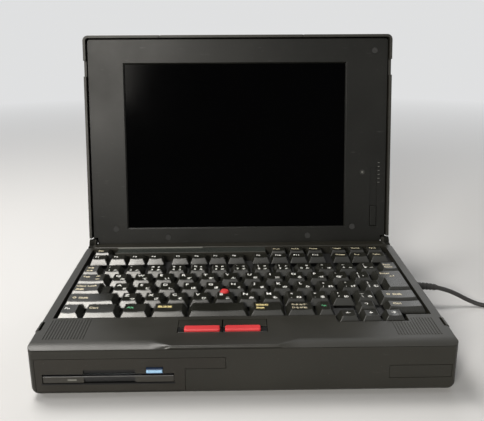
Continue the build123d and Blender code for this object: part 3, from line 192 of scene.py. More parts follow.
def spread(tree, value, low, high, out_low=0.0, out_high=1.0):
    """Maps one range of a value onto another."""
    node = tree.nodes.new("ShaderNodeMapRange")
    node.inputs["From Min"].default_value = low
    node.inputs["From Max"].default_value = high
    node.inputs["To Min"].default_value = out_low
    node.inputs["To Max"].default_value = out_high
    tree.links.new(value, node.inputs["Value"])
    return node.outputs["Result"]


def math_node(tree, operation, a, b):
    """The result of a math node; each operand is a number or a socket."""
    node = tree.nodes.new("ShaderNodeMath")
    node.operation = operation
    for index, value in enumerate((a, b)):
        if isinstance(value, (int, float)):
            node.inputs[index].default_value = value
        else:
            tree.links.new(value, node.inputs[index])
    return node.outputs[0]


def mix_colour(tree, factor, a, b):
    """A colour between a and b; the three are constants or sockets."""
    node = tree.nodes.new("ShaderNodeMix")
    node.data_type = "RGBA"
    if isinstance(factor, (int, float)):
        node.inputs[0].default_value = factor
    else:
        tree.links.new(factor, node.inputs[0])
    for socket, value in ((6, a), (7, b)):
        if isinstance(value, tuple):
            node.inputs[socket].default_value = (*value, 1)
        else:
            tree.links.new(value, node.inputs[socket])
    return node.outputs[2]


def stretched(tree, vector, scale):
    """Coordinates scaled by axis."""
    node = tree.nodes.new("ShaderNodeMapping")
    node.inputs["Scale"].default_value = scale
    tree.links.new(vector, node.inputs["Vector"])
    return node.outputs[0]


def plastic(name, colour, rough=0.5, grain=0.00006, grain_scale=2600.0, mottle=0.12, dust=0.25,
            scratches=0.25, ior=1.5):
    """Moulded plastic: eroded grain, polished and dusty patches, fine scratches."""
    mat, tree, bsdf = shader(name)
    coords = tree.nodes.new("ShaderNodeTexCoord").outputs["Object"]
    patches = noise(tree, coords, 14.0, 4.0)
    fine = noise(tree, coords, grain_scale, 2.0, 0.6)
    specks = noise(tree, coords, 900.0, 2.0, 0.7)
    lines = noise(tree, stretched(tree, coords, (60.0, 900.0, 300.0)), 1.0, 2.0, 0.5)
    base = mix_colour(tree, spread(tree, patches, 0.3, 0.7),
                      tuple(c * (1 - mottle) for c in colour),
                      tuple(c * (1 + mottle) for c in colour))
    dusty = spread(tree, specks, 0.69, 0.80, 0.0, dust)
    base = mix_colour(tree, dusty, base, DUST_COLOUR)
    scratch = spread(tree, lines, 0.70, 0.78, 0.0, scratches)
    base = mix_colour(tree, math_node(tree, "MULTIPLY", scratch, SCRATCH_SHARE), base,
                      SCRATCH_COLOUR)
    tree.links.new(base, bsdf.inputs["Base Color"])
    roughness = spread(tree, patches, 0.3, 0.7, rough - 0.06, rough + 0.07)
    roughness = math_node(tree, "ADD", roughness, spread(tree, fine, 0.3, 0.7, -0.03, 0.03))
    tree.links.new(roughness, bsdf.inputs["Roughness"])
    bsdf.inputs["IOR"].default_value = ior
    bump = tree.nodes.new("ShaderNodeBump")
    bump.inputs["Strength"].default_value = 0.35
    bump.inputs["Distance"].default_value = grain
    tree.links.new(fine, bump.inputs["Height"])
    tree.links.new(bump.outputs[0], bsdf.inputs["Normal"])
    return mat


def box_mask(tree, low, high, edge):
    """1 inside a box of the object's own space and 0 outside, in millimetres."""
    coords = tree.nodes.new("ShaderNodeTexCoord").outputs["Object"]
    split = tree.nodes.new("ShaderNodeSeparateXYZ")
    tree.links.new(coords, split.inputs[0])
    inside = None
    for axis, (start, end) in enumerate(zip(low, high)):
        for limit, sign in ((start, 1), (end, -1)):
            if limit is None:
                continue
            ramp = spread(tree, split.outputs[axis], (limit - sign * edge) * MM,
                          (limit + sign * edge) * MM)
            inside = ramp if inside is None else math_node(tree, "MULTIPLY", inside, ramp)
    return inside


def shade_within(mat, low, high, colour, edge=MASK_EDGE):
    """Gives a material another colour inside a box of the object's own space."""
    tree = mat.node_tree
    bsdf = tree.nodes["Principled BSDF"]
    base = bsdf.inputs["Base Color"].links[0].from_socket
    inside = box_mask(tree, low, high, edge)
    tree.links.new(mix_colour(tree, inside, base, colour), bsdf.inputs["Base Color"])
    return mat


def dull_within(mat, low, high, rough):
    """Sets a dull roughness inside a box of the object's own space, in millimetres."""
    tree = mat.node_tree
    bsdf = tree.nodes["Principled BSDF"]
    base = bsdf.inputs["Roughness"].links[0].from_socket
    inside = box_mask(tree, low, high, MASK_EDGE)
    kept = math_node(tree, "MULTIPLY", base, math_node(tree, "SUBTRACT", 1.0, inside))
    tree.links.new(math_node(tree, "ADD", kept, math_node(tree, "MULTIPLY", inside, rough)),
                   bsdf.inputs["Roughness"])


def metal(name, colour, rough=0.35, brushed=True):
    """Sheet metal, brushed or dull."""
    mat, tree, bsdf = shader(name)
    coords = tree.nodes.new("ShaderNodeTexCoord").outputs["Object"]
    vector = stretched(tree, coords, (40.0, 1800.0, 1800.0)) if brushed else coords
    grain = noise(tree, vector, 1.0 if brushed else 400.0, 3.0)
    stain = noise(tree, coords, 30.0, 3.0)
    base = mix_colour(tree, spread(tree, stain, 0.3, 0.7), tuple(c * 0.85 for c in colour), colour)
    tree.links.new(base, bsdf.inputs["Base Color"])
    tree.links.new(spread(tree, grain, 0.3, 0.7, rough - 0.08, rough + 0.1),
                   bsdf.inputs["Roughness"])
    bsdf.inputs["Metallic"].default_value = 1.0
    bump = tree.nodes.new("ShaderNodeBump")
    bump.inputs["Strength"].default_value = 0.2
    bump.inputs["Distance"].default_value = 0.00003
    tree.links.new(grain, bump.inputs["Height"])
    tree.links.new(bump.outputs[0], bsdf.inputs["Normal"])
    return mat


def rubber(name, colour, rough=0.75, grain=0.0001):
    """Matt rubber with a fine, slightly worn surface."""
    return plastic(name, colour, rough, grain, 3600.0, 0.1, 0.3, 0.1, 1.45)


def print_ink(name, colour, wear=0.15):
    """Pad-printed ink, slightly worn."""
    mat, tree, bsdf = shader(name)
    coords = tree.nodes.new("ShaderNodeTexCoord").outputs["Object"]
    worn = spread(tree, noise(tree, coords, 700.0, 3.0), 0.45, 0.7)
    base = mix_colour(tree, worn, colour, tuple(c * (1 - wear) for c in colour))
    tree.links.new(base, bsdf.inputs["Base Color"])
    bsdf.inputs["Roughness"].default_value = 0.55
    return mat


case_black = plastic("case_black", (0.018, 0.017, 0.013), 0.44, ior=1.38)
deck_black = plastic("deck_black", (0.015, 0.014, 0.010), 0.37, ior=1.46)
bezel_black = plastic("bezel_black", (0.009, 0.009, 0.0075), 0.36, scratches=0.3, ior=1.27)
key_black = plastic("key_black", (0.013, 0.013, 0.010), 0.26, grain=0.00004, dust=0.10,
                    scratches=0.1)
bezel_floppy = plastic("bezel_floppy", (0.018, 0.016, 0.012), 0.46, ior=1.38)
rubber_red = rubber("rubber_red", (0.55, 0.028, 0.030), 0.62)
bar_red = plastic("bar_red", (0.62, 0.035, 0.040), 0.42, dust=0.1, scratches=0.3)
eject_blue = plastic("eject_blue", (0.33, 0.56, 0.80), 0.38, dust=0.05, scratches=0.1)
rubber_black = rubber("rubber_black", (0.018, 0.018, 0.017))
cord_black = rubber("cord_black", (0.022, 0.021, 0.020), 0.55)
port_metal = metal("port_metal", (0.62, 0.62, 0.60))
drive_metal = metal("drive_metal", (0.56, 0.57, 0.58))
frame_metal = metal("frame_metal", (0.50, 0.50, 0.49), 0.42)
plate_metal = plastic("plate_metal", (0.012, 0.012, 0.012), 0.5)
screw_steel = metal("screw_steel", (0.45, 0.45, 0.46), 0.3, False)
board_green = plastic("board_green", (0.02, 0.12, 0.05), 0.4)
display_grey = plastic("display_grey", (0.030, 0.034, 0.030), 0.25, dust=0.1)
ink_white = print_ink("ink_white", (0.90, 0.90, 0.87))
ink_cream = print_ink("ink_cream", (0.80, 0.72, 0.52))
ink_yellow = print_ink("ink_yellow", (0.88, 0.74, 0.34))
ink_green = print_ink("ink_green", (0.10, 0.42, 0.20))
ink_grey = print_ink("ink_grey", (0.12, 0.12, 0.11))
lens_pale = plastic("lens_pale", (0.16, 0.16, 0.14), 0.3, dust=0.1)
hinge_black = plastic("hinge_black", (0.010, 0.010, 0.008), 0.85, ior=1.2)
# Pale grey for a painted highlight on the status display's rear edge
painted_highlight_grey = plastic("painted_highlight_grey", (0.16, 0.16, 0.14), 0.35, dust=0.1)
trim_dark = plastic("trim_dark", (0.05, 0.05, 0.045), 0.35, dust=0.1)


def screen_material():
    """An unlit display: black, with a faint soft reflection."""
    mat, tree, bsdf = shader("screen_black")
    coords = tree.nodes.new("ShaderNodeTexCoord").outputs["Object"]
    haze = noise(tree, coords, 25.0, 3.0)
    tree.links.new(mix_colour(tree, haze, (0.0004, 0.0004, 0.0005), (0.0007, 0.0007, 0.0008)),
                   bsdf.inputs["Base Color"])
    tree.links.new(spread(tree, haze, 0.3, 0.7, 0.10, 0.14), bsdf.inputs["Roughness"])
    bsdf.inputs["Specular IOR Level"].default_value = 0.012
    return mat


screen_black = screen_material()

# The deck is dull round the hinge ears.
for start, end in ((-150.0, -141.2), (141.2, 150.0)):
    dull_within(deck_black, (start, 66.0, None), (end, 80.0, None), 0.95)

# Painted shade: the click buttons are painted dark below the deck's top, in front of their red
# bars, for the shade of their well.
button_black = plastic("button_black", (0.015, 0.014, 0.010), 0.33, ior=1.46)
shade_within(button_black, (None, -106.5, None), (None, -95.0, DECK_TOP - 0.6), WELL_PAINTED_SHADE)

# Disk slot, painted shade: in the grip recess in the middle, on the flap's upper edge, and on the
# slot's lower edge and walls.
SLOT_LEFT, SLOT_RIGHT = -140.4, -47.6
GRIP_LEFT, GRIP_RIGHT = -111.0, -75.5
flap_black = plastic("flap_black", (0.022, 0.020, 0.015), 0.42)
shade_within(flap_black, (GRIP_LEFT, None, 11.0), (GRIP_RIGHT, None, 23.0), RECESS_PAINTED_SHADE)
shade_within(bezel_floppy, (GRIP_LEFT - 0.2, None, 12.0), (GRIP_RIGHT + 0.2, None, 22.6),
             RECESS_PAINTED_SHADE)
shade_within(flap_black, (None, None, 17.1), (None, None, 19.0), SLIT_PAINTED_SHADE)
# Painted shade: a dark strip on the bezel's face below the slot stands in for a wider gap.
shade_within(bezel_floppy, (SLOT_LEFT, None, 11.2), (SLOT_RIGHT, None, 12.6), SLIT_PAINTED_SHADE)
shade_within(bezel_floppy, (SLOT_LEFT, -124.55, 11.5), (SLOT_RIGHT, None, 20.0), SLIT_PAINTED_SHADE)

# Painted shade on the eject button's lower and upper edges
shade_within(eject_blue, (None, None, 19.0), (None, None, 20.8), (0.01, 0.04, 0.14), 0.3)
shade_within(eject_blue, (None, None, 23.0), (None, None, 25.0), (0.01, 0.03, 0.08))

FINISH = {
    "base_cover": case_black, "lid_cover": case_black, "rear_port_door": case_black,
    "deck_frame": deck_black, "hinge_covers": hinge_black, "click_button_left": button_black,
    "click_button_right": button_black, "lid_latch_left": deck_black, "lid_latch_right": deck_black,
    "power_switch": deck_black, "display_bezel": bezel_black, "brightness_slider": bezel_black,
    "floppy_bezel": bezel_floppy, "floppy_flap": flap_black, "battery_pack": case_black,
    "hard_disk_pack": drive_metal, "pointing_stick_cap": rubber_red, "click_bar_left": bar_red,
    "click_bar_right": bar_red, "eject_button": eject_blue, "status_display": display_grey,
    "lcd_panel": screen_black, "keyboard_plate": plate_metal, "lcd_frame": frame_metal,
    "hinge_brackets": hinge_black, "floppy_drive": drive_metal, "board_shield": drive_metal,
    "rear_ports": port_metal, "power_jack": port_metal, "case_screws": screw_steel,
    "pointing_stick_post": frame_metal, "system_board": board_green, "backlight_board": board_green,
    "bezel_screw_caps": rubber_black, "rubber_feet": rubber_black, "dc_plug": cord_black,
    "strain_relief": cord_black, "power_cord_connector": cord_black, "power_cord": cord_black,
    "power_cord_coil": cord_black, "power_cord_tail": cord_black,
}
for name, node in nodes.items():
    finish = FINISH.get(name, key_black)
    node.data.materials.clear()
    node.data.materials.append(finish)

# ------------------------------------------------------------------ edges
MERGE_DISTANCE = 1e-6
FLAT_ANGLE = math.radians(0.3)
SHARP_ANGLE = math.radians(30.0)


def soften(name, width, segments=2):
    """Rounds the sharp edges of a node a little, as moulding does."""
    node = nodes[name]
    weld = node.modifiers.new("weld", "WELD")
    weld.merge_threshold = MERGE_DISTANCE
    flat = node.modifiers.new("flat", "DECIMATE")
    flat.decimate_type = "DISSOLVE"
    flat.angle_limit = FLAT_ANGLE
    bevel = node.modifiers.new("bevel", "BEVEL")
    bevel.width = width * MM
    bevel.segments = segments
    bevel.limit_method = "ANGLE"
    bevel.angle_limit = SHARP_ANGLE
    bevel.use_clamp_overlap = True
    smooth = node.modifiers.new("smooth", "WEIGHTED_NORMAL")
    smooth.keep_sharp = False
    smooth.weight = 50


for name in nodes:
    if name.startswith("key") and name != "keyboard_plate":
        soften(name, 0.45, 3)
for name in ("base_cover", "lid_cover", "display_bezel", "floppy_bezel", "hinge_covers",
             "floppy_flap", "rear_port_door"):
    soften(name, 0.3)
for name in ("click_button_left", "click_button_right", "lid_latch_left", "lid_latch_right",
             "power_switch", "battery_pack", "brightness_slider"):
    soften(name, 0.25)


# ------------------------------------------------------------------ power lead
def nurbs_line(name, points, radius):
    """An open quadratic NURBS line through control points in metres."""
    data = bpy.data.curves.new(name, "CURVE")
    data.dimensions = "3D"
    data.bevel_depth = radius
    data.bevel_resolution = 4
    data.resolution_u = 4
    data.use_fill_caps = True
    spline = data.splines.new("NURBS")
    spline.points.add(len(points) - 1)
    for point, place in zip(spline.points, points):
        point.co = (*place, 1.0)
    spline.order_u = 3
    spline.use_endpoint_u = True
    obj = bpy.data.objects.new(name, data)
    scene.collection.objects.link(obj)
    return obj


CORD_RADIUS = 2.0
CORD_LIE = 2.1
CORD_START = [(178.0, 12.029, 18.4), (187.0, 12.029, 16.156), (197.0, 11.429, 11.8),
              (207.0, 10.429, 6.4), (218.0, 8.429, CORD_LIE), (231.0, 4.629, CORD_LIE),
              (244.0, -0.371, CORD_LIE), (256.0, -6.571, CORD_LIE)]
COIL_X, COIL_Y, COIL_RADIUS = 280.0, 22.029, 28.6
TURN_SPREAD, LAYER_RISE, LAYERS, LAYER_TURNS = 5.4, 5.0, 4, 3
CLIMB_TURNS = 0.5
STEPS = 16


def coil_points():
    """Control points of the wound length, a fixed number to each turn."""
    points = []
    stretch = 1.0 / math.cos(math.pi / STEPS) ** 0.5
    spiral = LAYER_TURNS - CLIMB_TURNS
    for step in range(LAYERS * LAYER_TURNS * STEPS + 1):
        turns = step / STEPS
        layer = min(int(turns / LAYER_TURNS), LAYERS - 1)
        inside = turns - layer * LAYER_TURNS
        last = layer == LAYERS - 1
        run = inside if last else min(inside, spiral)
        outward = layer % 2 == 1
        start = COIL_RADIUS - TURN_SPREAD * spiral if outward else COIL_RADIUS
        radius = (start + (TURN_SPREAD if outward else -TURN_SPREAD) * run) * stretch
        climb = 0.0 if last or inside <= spiral else (inside - spiral) / CLIMB_TURNS
        angle = 2 * math.pi * turns - math.pi / 2
        points.append((COIL_X + radius * math.cos(angle), COIL_Y + radius * math.sin(angle),
                       CORD_LIE + LAYER_RISE * (layer + climb)))
    return points


TAIL = [(284.0, -9.271, 17.1), (293.0, -9.271, 17.1), (305.0, -9.271, 13.5), (317.0, -9.271, 8.46),
        (329.0, -9.271, 5.1), (341.0, -9.271, 5.1)]
route = CORD_START + coil_points() + TAIL
power_lead = nurbs_line("power_lead", [mm(*p) for p in route], CORD_RADIUS * MM)
power_lead.data.materials.append(cord_black)
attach(power_lead, "base")
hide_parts("power_cord", "power_cord_coil", "power_cord_tail")

# ------------------------------------------------------------------ printing
BODY_OF = {node: body for body, names in frame["record"]["behaviour"]["bodies"].items()
           for node in names}
INK_RISE = 0.06
INK_SINK = -0.02
CAP_INSETS = (3.4, 2.6, 2.4)
SMALL_CAP_INSETS = (2.6, 2.3, 2.1)
ARROW_INSETS = (3.1, 2.2, 2.0)
CAP_DISH = 0.45
glyph_shapes = {}
printed = {}


def key_top(x, cell):
    """Height of a cap's dished top at x, in millimetres."""
    half = (cell["right"] - cell["left"]) / 2
    dish = cell["dish"]
    if dish == 0:
        return KEY_TOP
    radius = (half ** 2 + dish ** 2) / (2 * dish)
    off = min(abs(x - (cell["left"] + cell["right"]) / 2), half)
    return KEY_TOP + radius - dish - math.sqrt(radius ** 2 - off ** 2)


def cell_of(node, left, right, front, back, insets=CAP_INSETS, dish=CAP_DISH):
    """The top of a cap in its place on the board: its node, four edges and dish."""
    side, fore, aft = insets
    half = CAP_SPACING / 2
    return {"node": node, "left": left + half + side, "right": right - half - side,
            "front": front + half + fore, "back": back - half - aft, "dish": dish}


def run_of_cells(node, row, widths, start=0.0):
    """Tops of caps side by side along one row, widths in key units."""
    cells = []
    left = BOARD_LEFT + start * PITCH
    for width in widths:
        right = left + width * PITCH
        cells.append(cell_of(node, left, right, ROW_FRONT[row], ROW_FRONT[row] + ROW_PITCH))
        left = right
    return cells


def small_cells(node, group, first, count, front):
    """Tops of the short caps of one group."""
    left = GROUP_LEFT[group] + first * SMALL_PITCH
    return [cell_of(node, left + i * SMALL_PITCH, left + (i + 1) * SMALL_PITCH, front,
                    front + SMALL_DEPTH, SMALL_CAP_INSETS) for i in range(count)]


def write(cell, words, across, along, size, ink):
    """Notes lettering on a cap; across and along are shares of its top from left and front."""
    x = cell["left"] + across * (cell["right"] - cell["left"])
    y = cell["front"] + along * (cell["back"] - cell["front"])
    glyph_shapes.setdefault(words)
    printed.setdefault((cell["node"], ink), []).append((words, x, y, size, cell))


# Number row: sign, shifted sign and kana, with the small kana above where there is one
number_cells = run_of_cells("keys_number_row", 4, [1] * 15)
write(number_cells[0], "\u534a\u89d2", 0.12, 0.56, 3.0, "ink_cream")
write(number_cells[0], "\u5168\u89d2", 0.12, 0.12, 3.0, "ink_cream")
number_legends = ("1!\u306c", "2\"\u3075", "3#\u3042", "4$\u3046", "5%\u3048", "6&\u304a",
                  "7'\u3084", "8(\u3086", "9)\u3088", "0 \u308f", "-=\u307b", "^~\u3078",
                  "\u00a5|\u30fc")
small_kana = {"3": "\u3041", "4": "\u3045", "5": "\u3047", "6": "\u3049", "7": "\u3083",
              "8": "\u3085", "9": "\u3087", "0": "\u3092"}
for cell, legend in zip(number_cells[1:], number_legends):
    write(cell, legend[0], 0.14, 0.12, 4.4, "ink_white")
    if legend[1] != " ":
        write(cell, legend[1], 0.14, 0.60, 4.0, "ink_white")
    write(cell, legend[2], 0.58, 0.12, 3.3, "ink_white")
    if legend[0] in small_kana:
        write(cell, small_kana[legend[0]], 0.58, 0.58, 3.0, "ink_white")
write(number_cells[14], "Back", 0.04, 0.55, 3.4, "ink_cream")
write(number_cells[14], "space", 0.04, 0.20, 3.4, "ink_cream")

# Letter rows: letter and kana, or sign, shifted sign and kana
upper = run_of_cells("keys_upper_letters", 3, [1] * 12, 1.5)
home = run_of_cells("keys_home_letters", 2, [1] * 12, 1.75)
lower = run_of_cells("keys_lower_letters", 1, [1] * 11, 2.25)
rows = ((upper, "QWERTYUIOP@[",
         "\u305f\u3066\u3044\u3059\u304b\u3093\u306a\u306b\u3089\u305b\u309b\u309c"),
        (home, "ASDFGHJKL;:]",
         "\u3061\u3068\u3057\u306f\u304d\u304f\u307e\u306e\u308a\u308c\u3051\u3080"),
        (lower, "ZXCVBNM,./\\",
         "\u3064\u3055\u305d\u3072\u3053\u307f\u3082\u306d\u308b\u3081\u308d"))
shifted = {"@": "`", "[": "{", ";": "+", ":": "*", "]": "}", ",": "<", ".": ">", "/": "?",
           "\\": "_"}
for cells, letters, kana in rows:
    for cell, letter, sound in zip(cells, letters, kana):
        if letter in shifted:
            write(cell, letter, 0.16, 0.14, 4.2, "ink_white")
            write(cell, shifted[letter], 0.16, 0.60, 3.9, "ink_white")
        else:
            write(cell, letter, 0.13, 0.58, 5.4, "ink_white")
        write(cell, sound, 0.54, 0.10, 4.3, "ink_white")

# Keys at the ends of the rows, and the bottom row
CAPS_LEDGE = 5.5
tab = run_of_cells("key_tab", 3, [1.5])[0]
write(tab, "Tab", 0.08, 0.55, 4.0, "ink_cream")
write(tab, "\u21e4", 0.62, 0.62, 4.0, "ink_cream")
write(tab, "\u21e5", 0.62, 0.16, 4.0, "ink_cream")
caps = cell_of("key_caps_lock", BOARD_LEFT, BOARD_LEFT + 1.75 * PITCH - CAPS_LEDGE, ROW_FRONT[2],
               ROW_FRONT[2] + ROW_PITCH)
write(caps, "Caps Lock", 0.04, 0.60, 3.9, "ink_cream")
write(caps, "\u82f1\u6570", 0.06, 0.12, 3.6, "ink_cream")
left_shift = run_of_cells("key_shift_left", 1, [2.25])[0]
write(left_shift, "\u21e7 Shift", 0.06, 0.36, 4.2, "ink_cream")
right_shift = run_of_cells("key_shift_right", 1, [1.75], 13.25)[0]
write(right_shift, "\u21e7 Shift", 0.10, 0.36, 4.2, "ink_cream")
bottom_left = run_of_cells("keys_bottom_row", 0, [1, 1.5, 1.25, 1.5])
bottom_right = run_of_cells("keys_bottom_row", 0, [1.5, 1.25, 0.75], 7.75)
write(bottom_left[0], "Fn", 0.12, 0.45, 4.2, "ink_white")
write(bottom_left[1], "Ctrl", 0.05, 0.45, 4.2, "ink_cream")
write(bottom_left[2], "Alt", 0.10, 0.45, 4.2, "ink_green")
write(bottom_left[3], "\u7121\u5909\u63db", 0.08, 0.50, 3.7, "ink_yellow")
write(bottom_right[0], "\u524d\u5019\u88dc", 0.08, 0.60, 3.3, "ink_yellow")
write(bottom_right[0], "\u5909\u63db", 0.08, 0.22, 3.3, "ink_yellow")
write(bottom_right[1], "\u30ab\u30bf\u30ab\u30ca", 0.04, 0.60, 3.0, "ink_cream")
write(bottom_right[1], "\u3072\u3089\u304c\u306a", 0.04, 0.22, 3.0, "ink_cream")
write(bottom_right[2], "Alt", 0.02, 0.45, 3.4, "ink_green")


def arrow_cell(node, place, front):
    """Top of one of the cursor keys."""
    left = ARROW_LEFT + place * ARROW_PITCH
    return cell_of(node, left, left + ARROW_PITCH, front, front + ARROW_DEPTH, ARROW_INSETS)


for way, place, front, sign, across in (("up", 1, ARROW_FRONT + ARROW_DEPTH, "\u2191", 0.30),
                                        ("left", 0, ARROW_FRONT, "\u2190", 0.28),
                                        ("down", 1, ARROW_FRONT, "\u2193", 0.30),
                                        ("right", 2, ARROW_FRONT, "\u2192", 0.28)):
    write(arrow_cell(f"key_arrow_{way}", place, front), sign, across, 0.42, 4.6, "ink_white")
right_control = cell_of("key_control_right", CTRL_LEFT, -BOARD_LEFT, ARROW_FRONT + ARROW_DEPTH,
                        ARROW_FRONT + 2 * ARROW_DEPTH, ARROW_INSETS)
write(right_control, "Ctrl", 0.12, 0.42, 4.0, "ink_cream")
return_top = cell_of("key_return", BOARD_LEFT + 13.5 * PITCH, -BOARD_LEFT, ROW_FRONT[3],
                     ROW_FRONT[3] + ROW_PITCH, dish=0)
write(return_top, "Enter", 0.12, 0.50, 4.0, "ink_cream")
write(return_top, "\u21b5", 0.45, 0.02, 5.0, "ink_cream")
escape = small_cells("key_escape", 0, 0, 1, ESCAPE_FRONT)[0]
write(escape, "Esc", 0.10, 0.35, 3.9, "ink_cream")
function_cells = [cell for group in range(3)
                  for cell in small_cells("keys_function", group, 0, 4, FUNCTION_FRONT)]
for number, cell in enumerate(function_cells, 1):
    write(cell, f"F{number}", 0.12, 0.42, 3.9, "ink_white")
navigation = (small_cells("keys_navigation", 2, 1, 3, ESCAPE_FRONT) +
              small_cells("keys_navigation", 3, 0, 3, ESCAPE_FRONT) +
              small_cells("keys_navigation", 3, 0, 3, FUNCTION_FRONT))
navigation_names = ("Print", "ScrLk", "Pause", "Insert", "Home", "PgUp", "Delete", "End",
                    "PgDn")
for cell, name in zip(navigation, navigation_names):
    write(cell, name, 0.06, 0.42, 3.2, "ink_cream")

# One text object per distinct word gives its shape, and each use of it is laid on its cap.
GLYPH_DEPTH = 0.01
GLYPH_WEIGHT = 0.018
text_objects = {}
for index, words in enumerate(glyph_shapes):
    data = bpy.data.curves.new(f"word_{index}", "FONT")
    data.body = words
    data.size = 1.0
    data.extrude = GLYPH_DEPTH
    data.resolution_u = 2
    data.offset = GLYPH_WEIGHT
    text_objects[words] = bpy.data.objects.new(f"word_{index}", data)
    scene.collection.objects.link(text_objects[words])
bpy.context.view_layer.update()
depsgraph = bpy.context.evaluated_depsgraph_get()
for words, obj in text_objects.items():
    shape = bpy.data.meshes.new_from_object(obj.evaluated_get(depsgraph))
    glyph_shapes[words] = ([tuple(v.co) for v in shape.vertices],
                           [tuple(p.vertices) for p in shape.polygons])
    bpy.data.meshes.remove(shape)
for obj in text_objects.values():
    bpy.data.objects.remove(obj)

INKS = {"ink_white": ink_white, "ink_cream": ink_cream, "ink_yellow": ink_yellow,
        "ink_green": ink_green}


def add_piece(name, verts, faces, material, body):
    """A closed mesh piece from points in millimetres, riding on a body."""
    mesh = bpy.data.meshes.new(name)
    mesh.from_pydata([mm(*v) for v in verts], [], faces)
    shaped = bmesh.new()
    shaped.from_mesh(mesh)
    bmesh.ops.remove_doubles(shaped, verts=shaped.verts, dist=MERGE_DISTANCE)
    bmesh.ops.recalc_face_normals(shaped, faces=shaped.faces)
    shaped.to_mesh(mesh)
    shaped.free()
    mesh.materials.append(material)
    piece = bpy.data.objects.new(name, mesh)
    scene.collection.objects.link(piece)
    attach(piece, body)


for (node, ink), uses in printed.items():
    verts, faces = [], []
    for words, x, y, size, cell in uses:
        points, polygons = glyph_shapes[words]
        first = len(verts)
        for px, py, pz in points:
            at_x = x + px * size
            lift = INK_RISE if pz > 0 else INK_SINK
            verts.append((at_x, y + py * size, key_top(at_x, cell) + lift))
        faces.extend(tuple(index + first for index in polygon) for polygon in polygons)
    add_piece(f"legend_{node}_{ink[4:]}", verts, faces, INKS[ink], BODY_OF[node])


# ------------------------------------------------------------------ small details
def block(verts, faces, low, high, bevel=0.0):
    """Adds a box between two corners, with its top drawn in on all sides by bevel."""
    first = len(verts)
    (x0, y0, z0), (x1, y1, z1) = low, high
    verts += [(x0, y0, z0), (x1, y0, z0), (x1, y1, z0), (x0, y1, z0),
              (x0 + bevel, y0 + bevel, z1), (x1 - bevel, y0 + bevel, z1),
              (x1 - bevel, y1 - bevel, z1), (x0 + bevel, y1 - bevel, z1)]
    faces += [tuple(first + i for i in f) for f in
              ((0, 3, 2, 1), (4, 5, 6, 7), (0, 1, 5, 4), (1, 2, 6, 5), (2, 3, 7, 6), (3, 0, 4, 7))]


# Ribbed fields of the palm rest; ribs in front of the cursor keys end at their opening.
RIB_PITCH = 2.15
RIB_WIDTH = 1.15
RIB_HEIGHT = 0.34
RIB_SINK = 0.05
RIB_DRAFT = 0.3
ARROW_WELL_RIGHT = ARROW_LEFT + 3 * ARROW_PITCH + 2.4
ARROW_WELL_FRONT = -94.4
RIB_FIELDS = (("left", -141.2, 14, -114.5, -85.5), ("right", 109.0, 15, -113.0, -88.0))
for side_name, first_x, count, rib_front, rib_back in RIB_FIELDS:
    verts, faces = [], []
    for index in range(count):
        x = first_x + index * RIB_PITCH
        back = ARROW_WELL_FRONT if ARROW_LEFT < x < ARROW_WELL_RIGHT else rib_back
        block(verts, faces, (x, rib_front, DECK_TOP - RIB_SINK),
              (x + RIB_WIDTH, back, DECK_TOP + RIB_HEIGHT), RIB_DRAFT)
    add_piece(f"palm_ribs_{side_name}", verts, faces, deck_black, "deck")

# Thin fillers that close the gap between the deck's ears and the lip behind the keys.
EAR_INNER = 141.65
EAR_FILLERS = ((140.4, (71.5, 38.35), (77.6, 39.5)), (141.1, (75.4, 39.0), (78.3, 42.6)))
verts, faces = [], []
for inner, start, end in EAR_FILLERS:
    block(verts, faces, (-EAR_INNER, *start), (-inner, *end))
    block(verts, faces, (inner, *start), (EAR_INNER, *end))
add_piece("deck_lip_ends", verts, faces, deck_black, "deck")

# Drive light on the flap
verts, faces = [], []
block(verts, faces, (-122.2, FACE_Y + 0.2, 14.3), (-116.0, FACE_Y + 0.55, 15.5))
add_piece("drive_light", verts, faces, lens_pale, "flap")


BEZEL_N = -4.0
MARK_RISE = 0.05
RAY_HALF = 0.16
RAY_START = 1.4
DISC_SIDES = 16


def on_bezel(verts, faces, shapes):
    """Adds thin closed shapes, outlines in the lid's plane, on the bezel's face."""
    for outline in shapes:
        first = len(verts)
        count = len(outline)
        for n in (BEZEL_N - MARK_RISE, BEZEL_N + MARK_RISE):
            for x, h in outline:
                verts.append(tuple(c / MM for c in lid_point(x, h, n)))
        faces.append(tuple(first + i for i in reversed(range(count))))
        faces.append(tuple(first + count + i for i in range(count)))
        for i in range(count):
            j = (i + 1) % count
            faces.append((first + i, first + j, first + count + j, first + count + i))


def ring_shapes(x, h, inner, outer, rays):
    """Outlines of a disc and of short rays round it."""
    shapes = [[(x + inner * math.cos(a), h + inner * math.sin(a))
               for a in (2 * math.pi * i / DISC_SIDES for i in range(DISC_SIDES))]]
    for ray in range(rays):
        a = 2 * math.pi * ray / rays
        ux, uh = math.cos(a), math.sin(a)
        shapes.append([(x + reach * ux + off * uh, h + reach * uh - off * ux)
                       for reach, off in ((inner * RAY_START, RAY_HALF), (outer, RAY_HALF),
                                          (outer, -RAY_HALF), (inner * RAY_START, -RAY_HALF))])
    return shapes


# Bars of the status display: the rear bar's pale grey is a painted highlight for the glossy edge of
# the display's window; the front bar is dark grey.
STATUS_BAR_LEFT = -118.5
verts, faces = [], []
block(verts, faces, (STATUS_BAR_LEFT, 61.9, DECK_TOP - 0.2), (-36.0, 62.6, DECK_TOP + 0.45), 0.15)
add_piece("display_highlight_rear", verts, faces, painted_highlight_grey, "deck")
verts, faces = [], []
block(verts, faces, (STATUS_BAR_LEFT, 48.6, DECK_TOP - 0.2), (24.0, 49.1, DECK_TOP + 0.30), 0.12)
add_piece("display_trim_front", verts, faces, trim_dark, "deck")

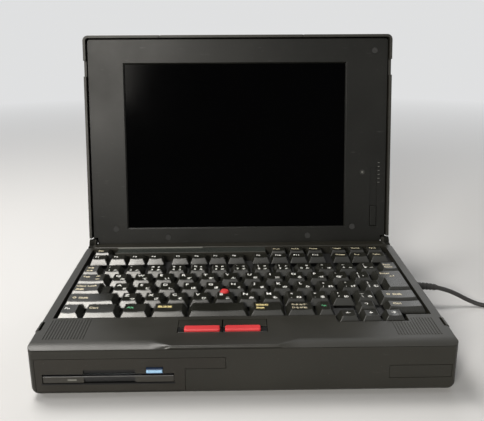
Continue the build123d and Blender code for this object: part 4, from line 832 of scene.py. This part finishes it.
# Sign and marks beside the brightness slider
MARK_LEFT, MARK_RIGHT = 137.2, 139.2
MARK_LOW, MARK_STEP, MARK_THICK = 57.5, 3.9, 0.55
verts, faces = [], []
on_bezel(verts, faces, ring_shapes(122.0, 68.0, 1.0, 2.4, 8))
for step in range(6):
    h = MARK_LOW + step * MARK_STEP
    on_bezel(verts, faces, [[(MARK_LEFT, h), (MARK_RIGHT, h), (MARK_RIGHT, h + MARK_THICK),
                             (MARK_LEFT, h + MARK_THICK)]])
add_piece("brightness_marks", verts, faces, ink_grey, "lid")

# ------------------------------------------------------------------ floor
FLOOR_RADIUS = 30
FLOOR_SIDES = 48
FLOOR_COLOUR = (0.66, 0.66, 0.66, 1)
FADE_START, FADE_END = 0.45, 1.6
floor_mesh = bpy.data.meshes.new("floor")
rim = [(FLOOR_RADIUS * math.cos(a), FLOOR_RADIUS * math.sin(a), 0.0)
       for a in (2 * math.pi * i / FLOOR_SIDES for i in range(FLOOR_SIDES))]
floor_mesh.from_pydata(rim, [], [tuple(range(FLOOR_SIDES))])
floor = bpy.data.objects.new("floor", floor_mesh)
scene.collection.objects.link(floor)
floor_mat, floor_tree, floor_bsdf = shader("floor_pale")
floor_bsdf.inputs["Base Color"].default_value = FLOOR_COLOUR
floor_bsdf.inputs["Roughness"].default_value = 0.85
# Far from the object the floor passes into the plain background.
floor_coords = floor_tree.nodes.new("ShaderNodeTexCoord").outputs["Object"]
reach = floor_tree.nodes.new("ShaderNodeVectorMath")
reach.operation = "LENGTH"
floor_tree.links.new(floor_coords, reach.inputs[0])
rays = floor_tree.nodes.new("ShaderNodeLightPath")
direct = math_node(floor_tree, "MAXIMUM", rays.outputs["Is Camera Ray"],
                   rays.outputs["Is Glossy Ray"])
far = math_node(floor_tree, "MULTIPLY", direct,
                spread(floor_tree, reach.outputs["Value"], FADE_START, FADE_END))
glow = floor_tree.nodes.new("ShaderNodeEmission")
glow.inputs["Color"].default_value = BACKGROUND
blend = floor_tree.nodes.new("ShaderNodeMixShader")
floor_tree.links.new(far, blend.inputs[0])
floor_tree.links.new(floor_bsdf.outputs[0], blend.inputs[1])
floor_tree.links.new(glow.outputs[0], blend.inputs[2])
floor_tree.links.new(blend.outputs[0], floor_tree.nodes["Material Output"].inputs["Surface"])
floor.data.materials.append(floor_mat)
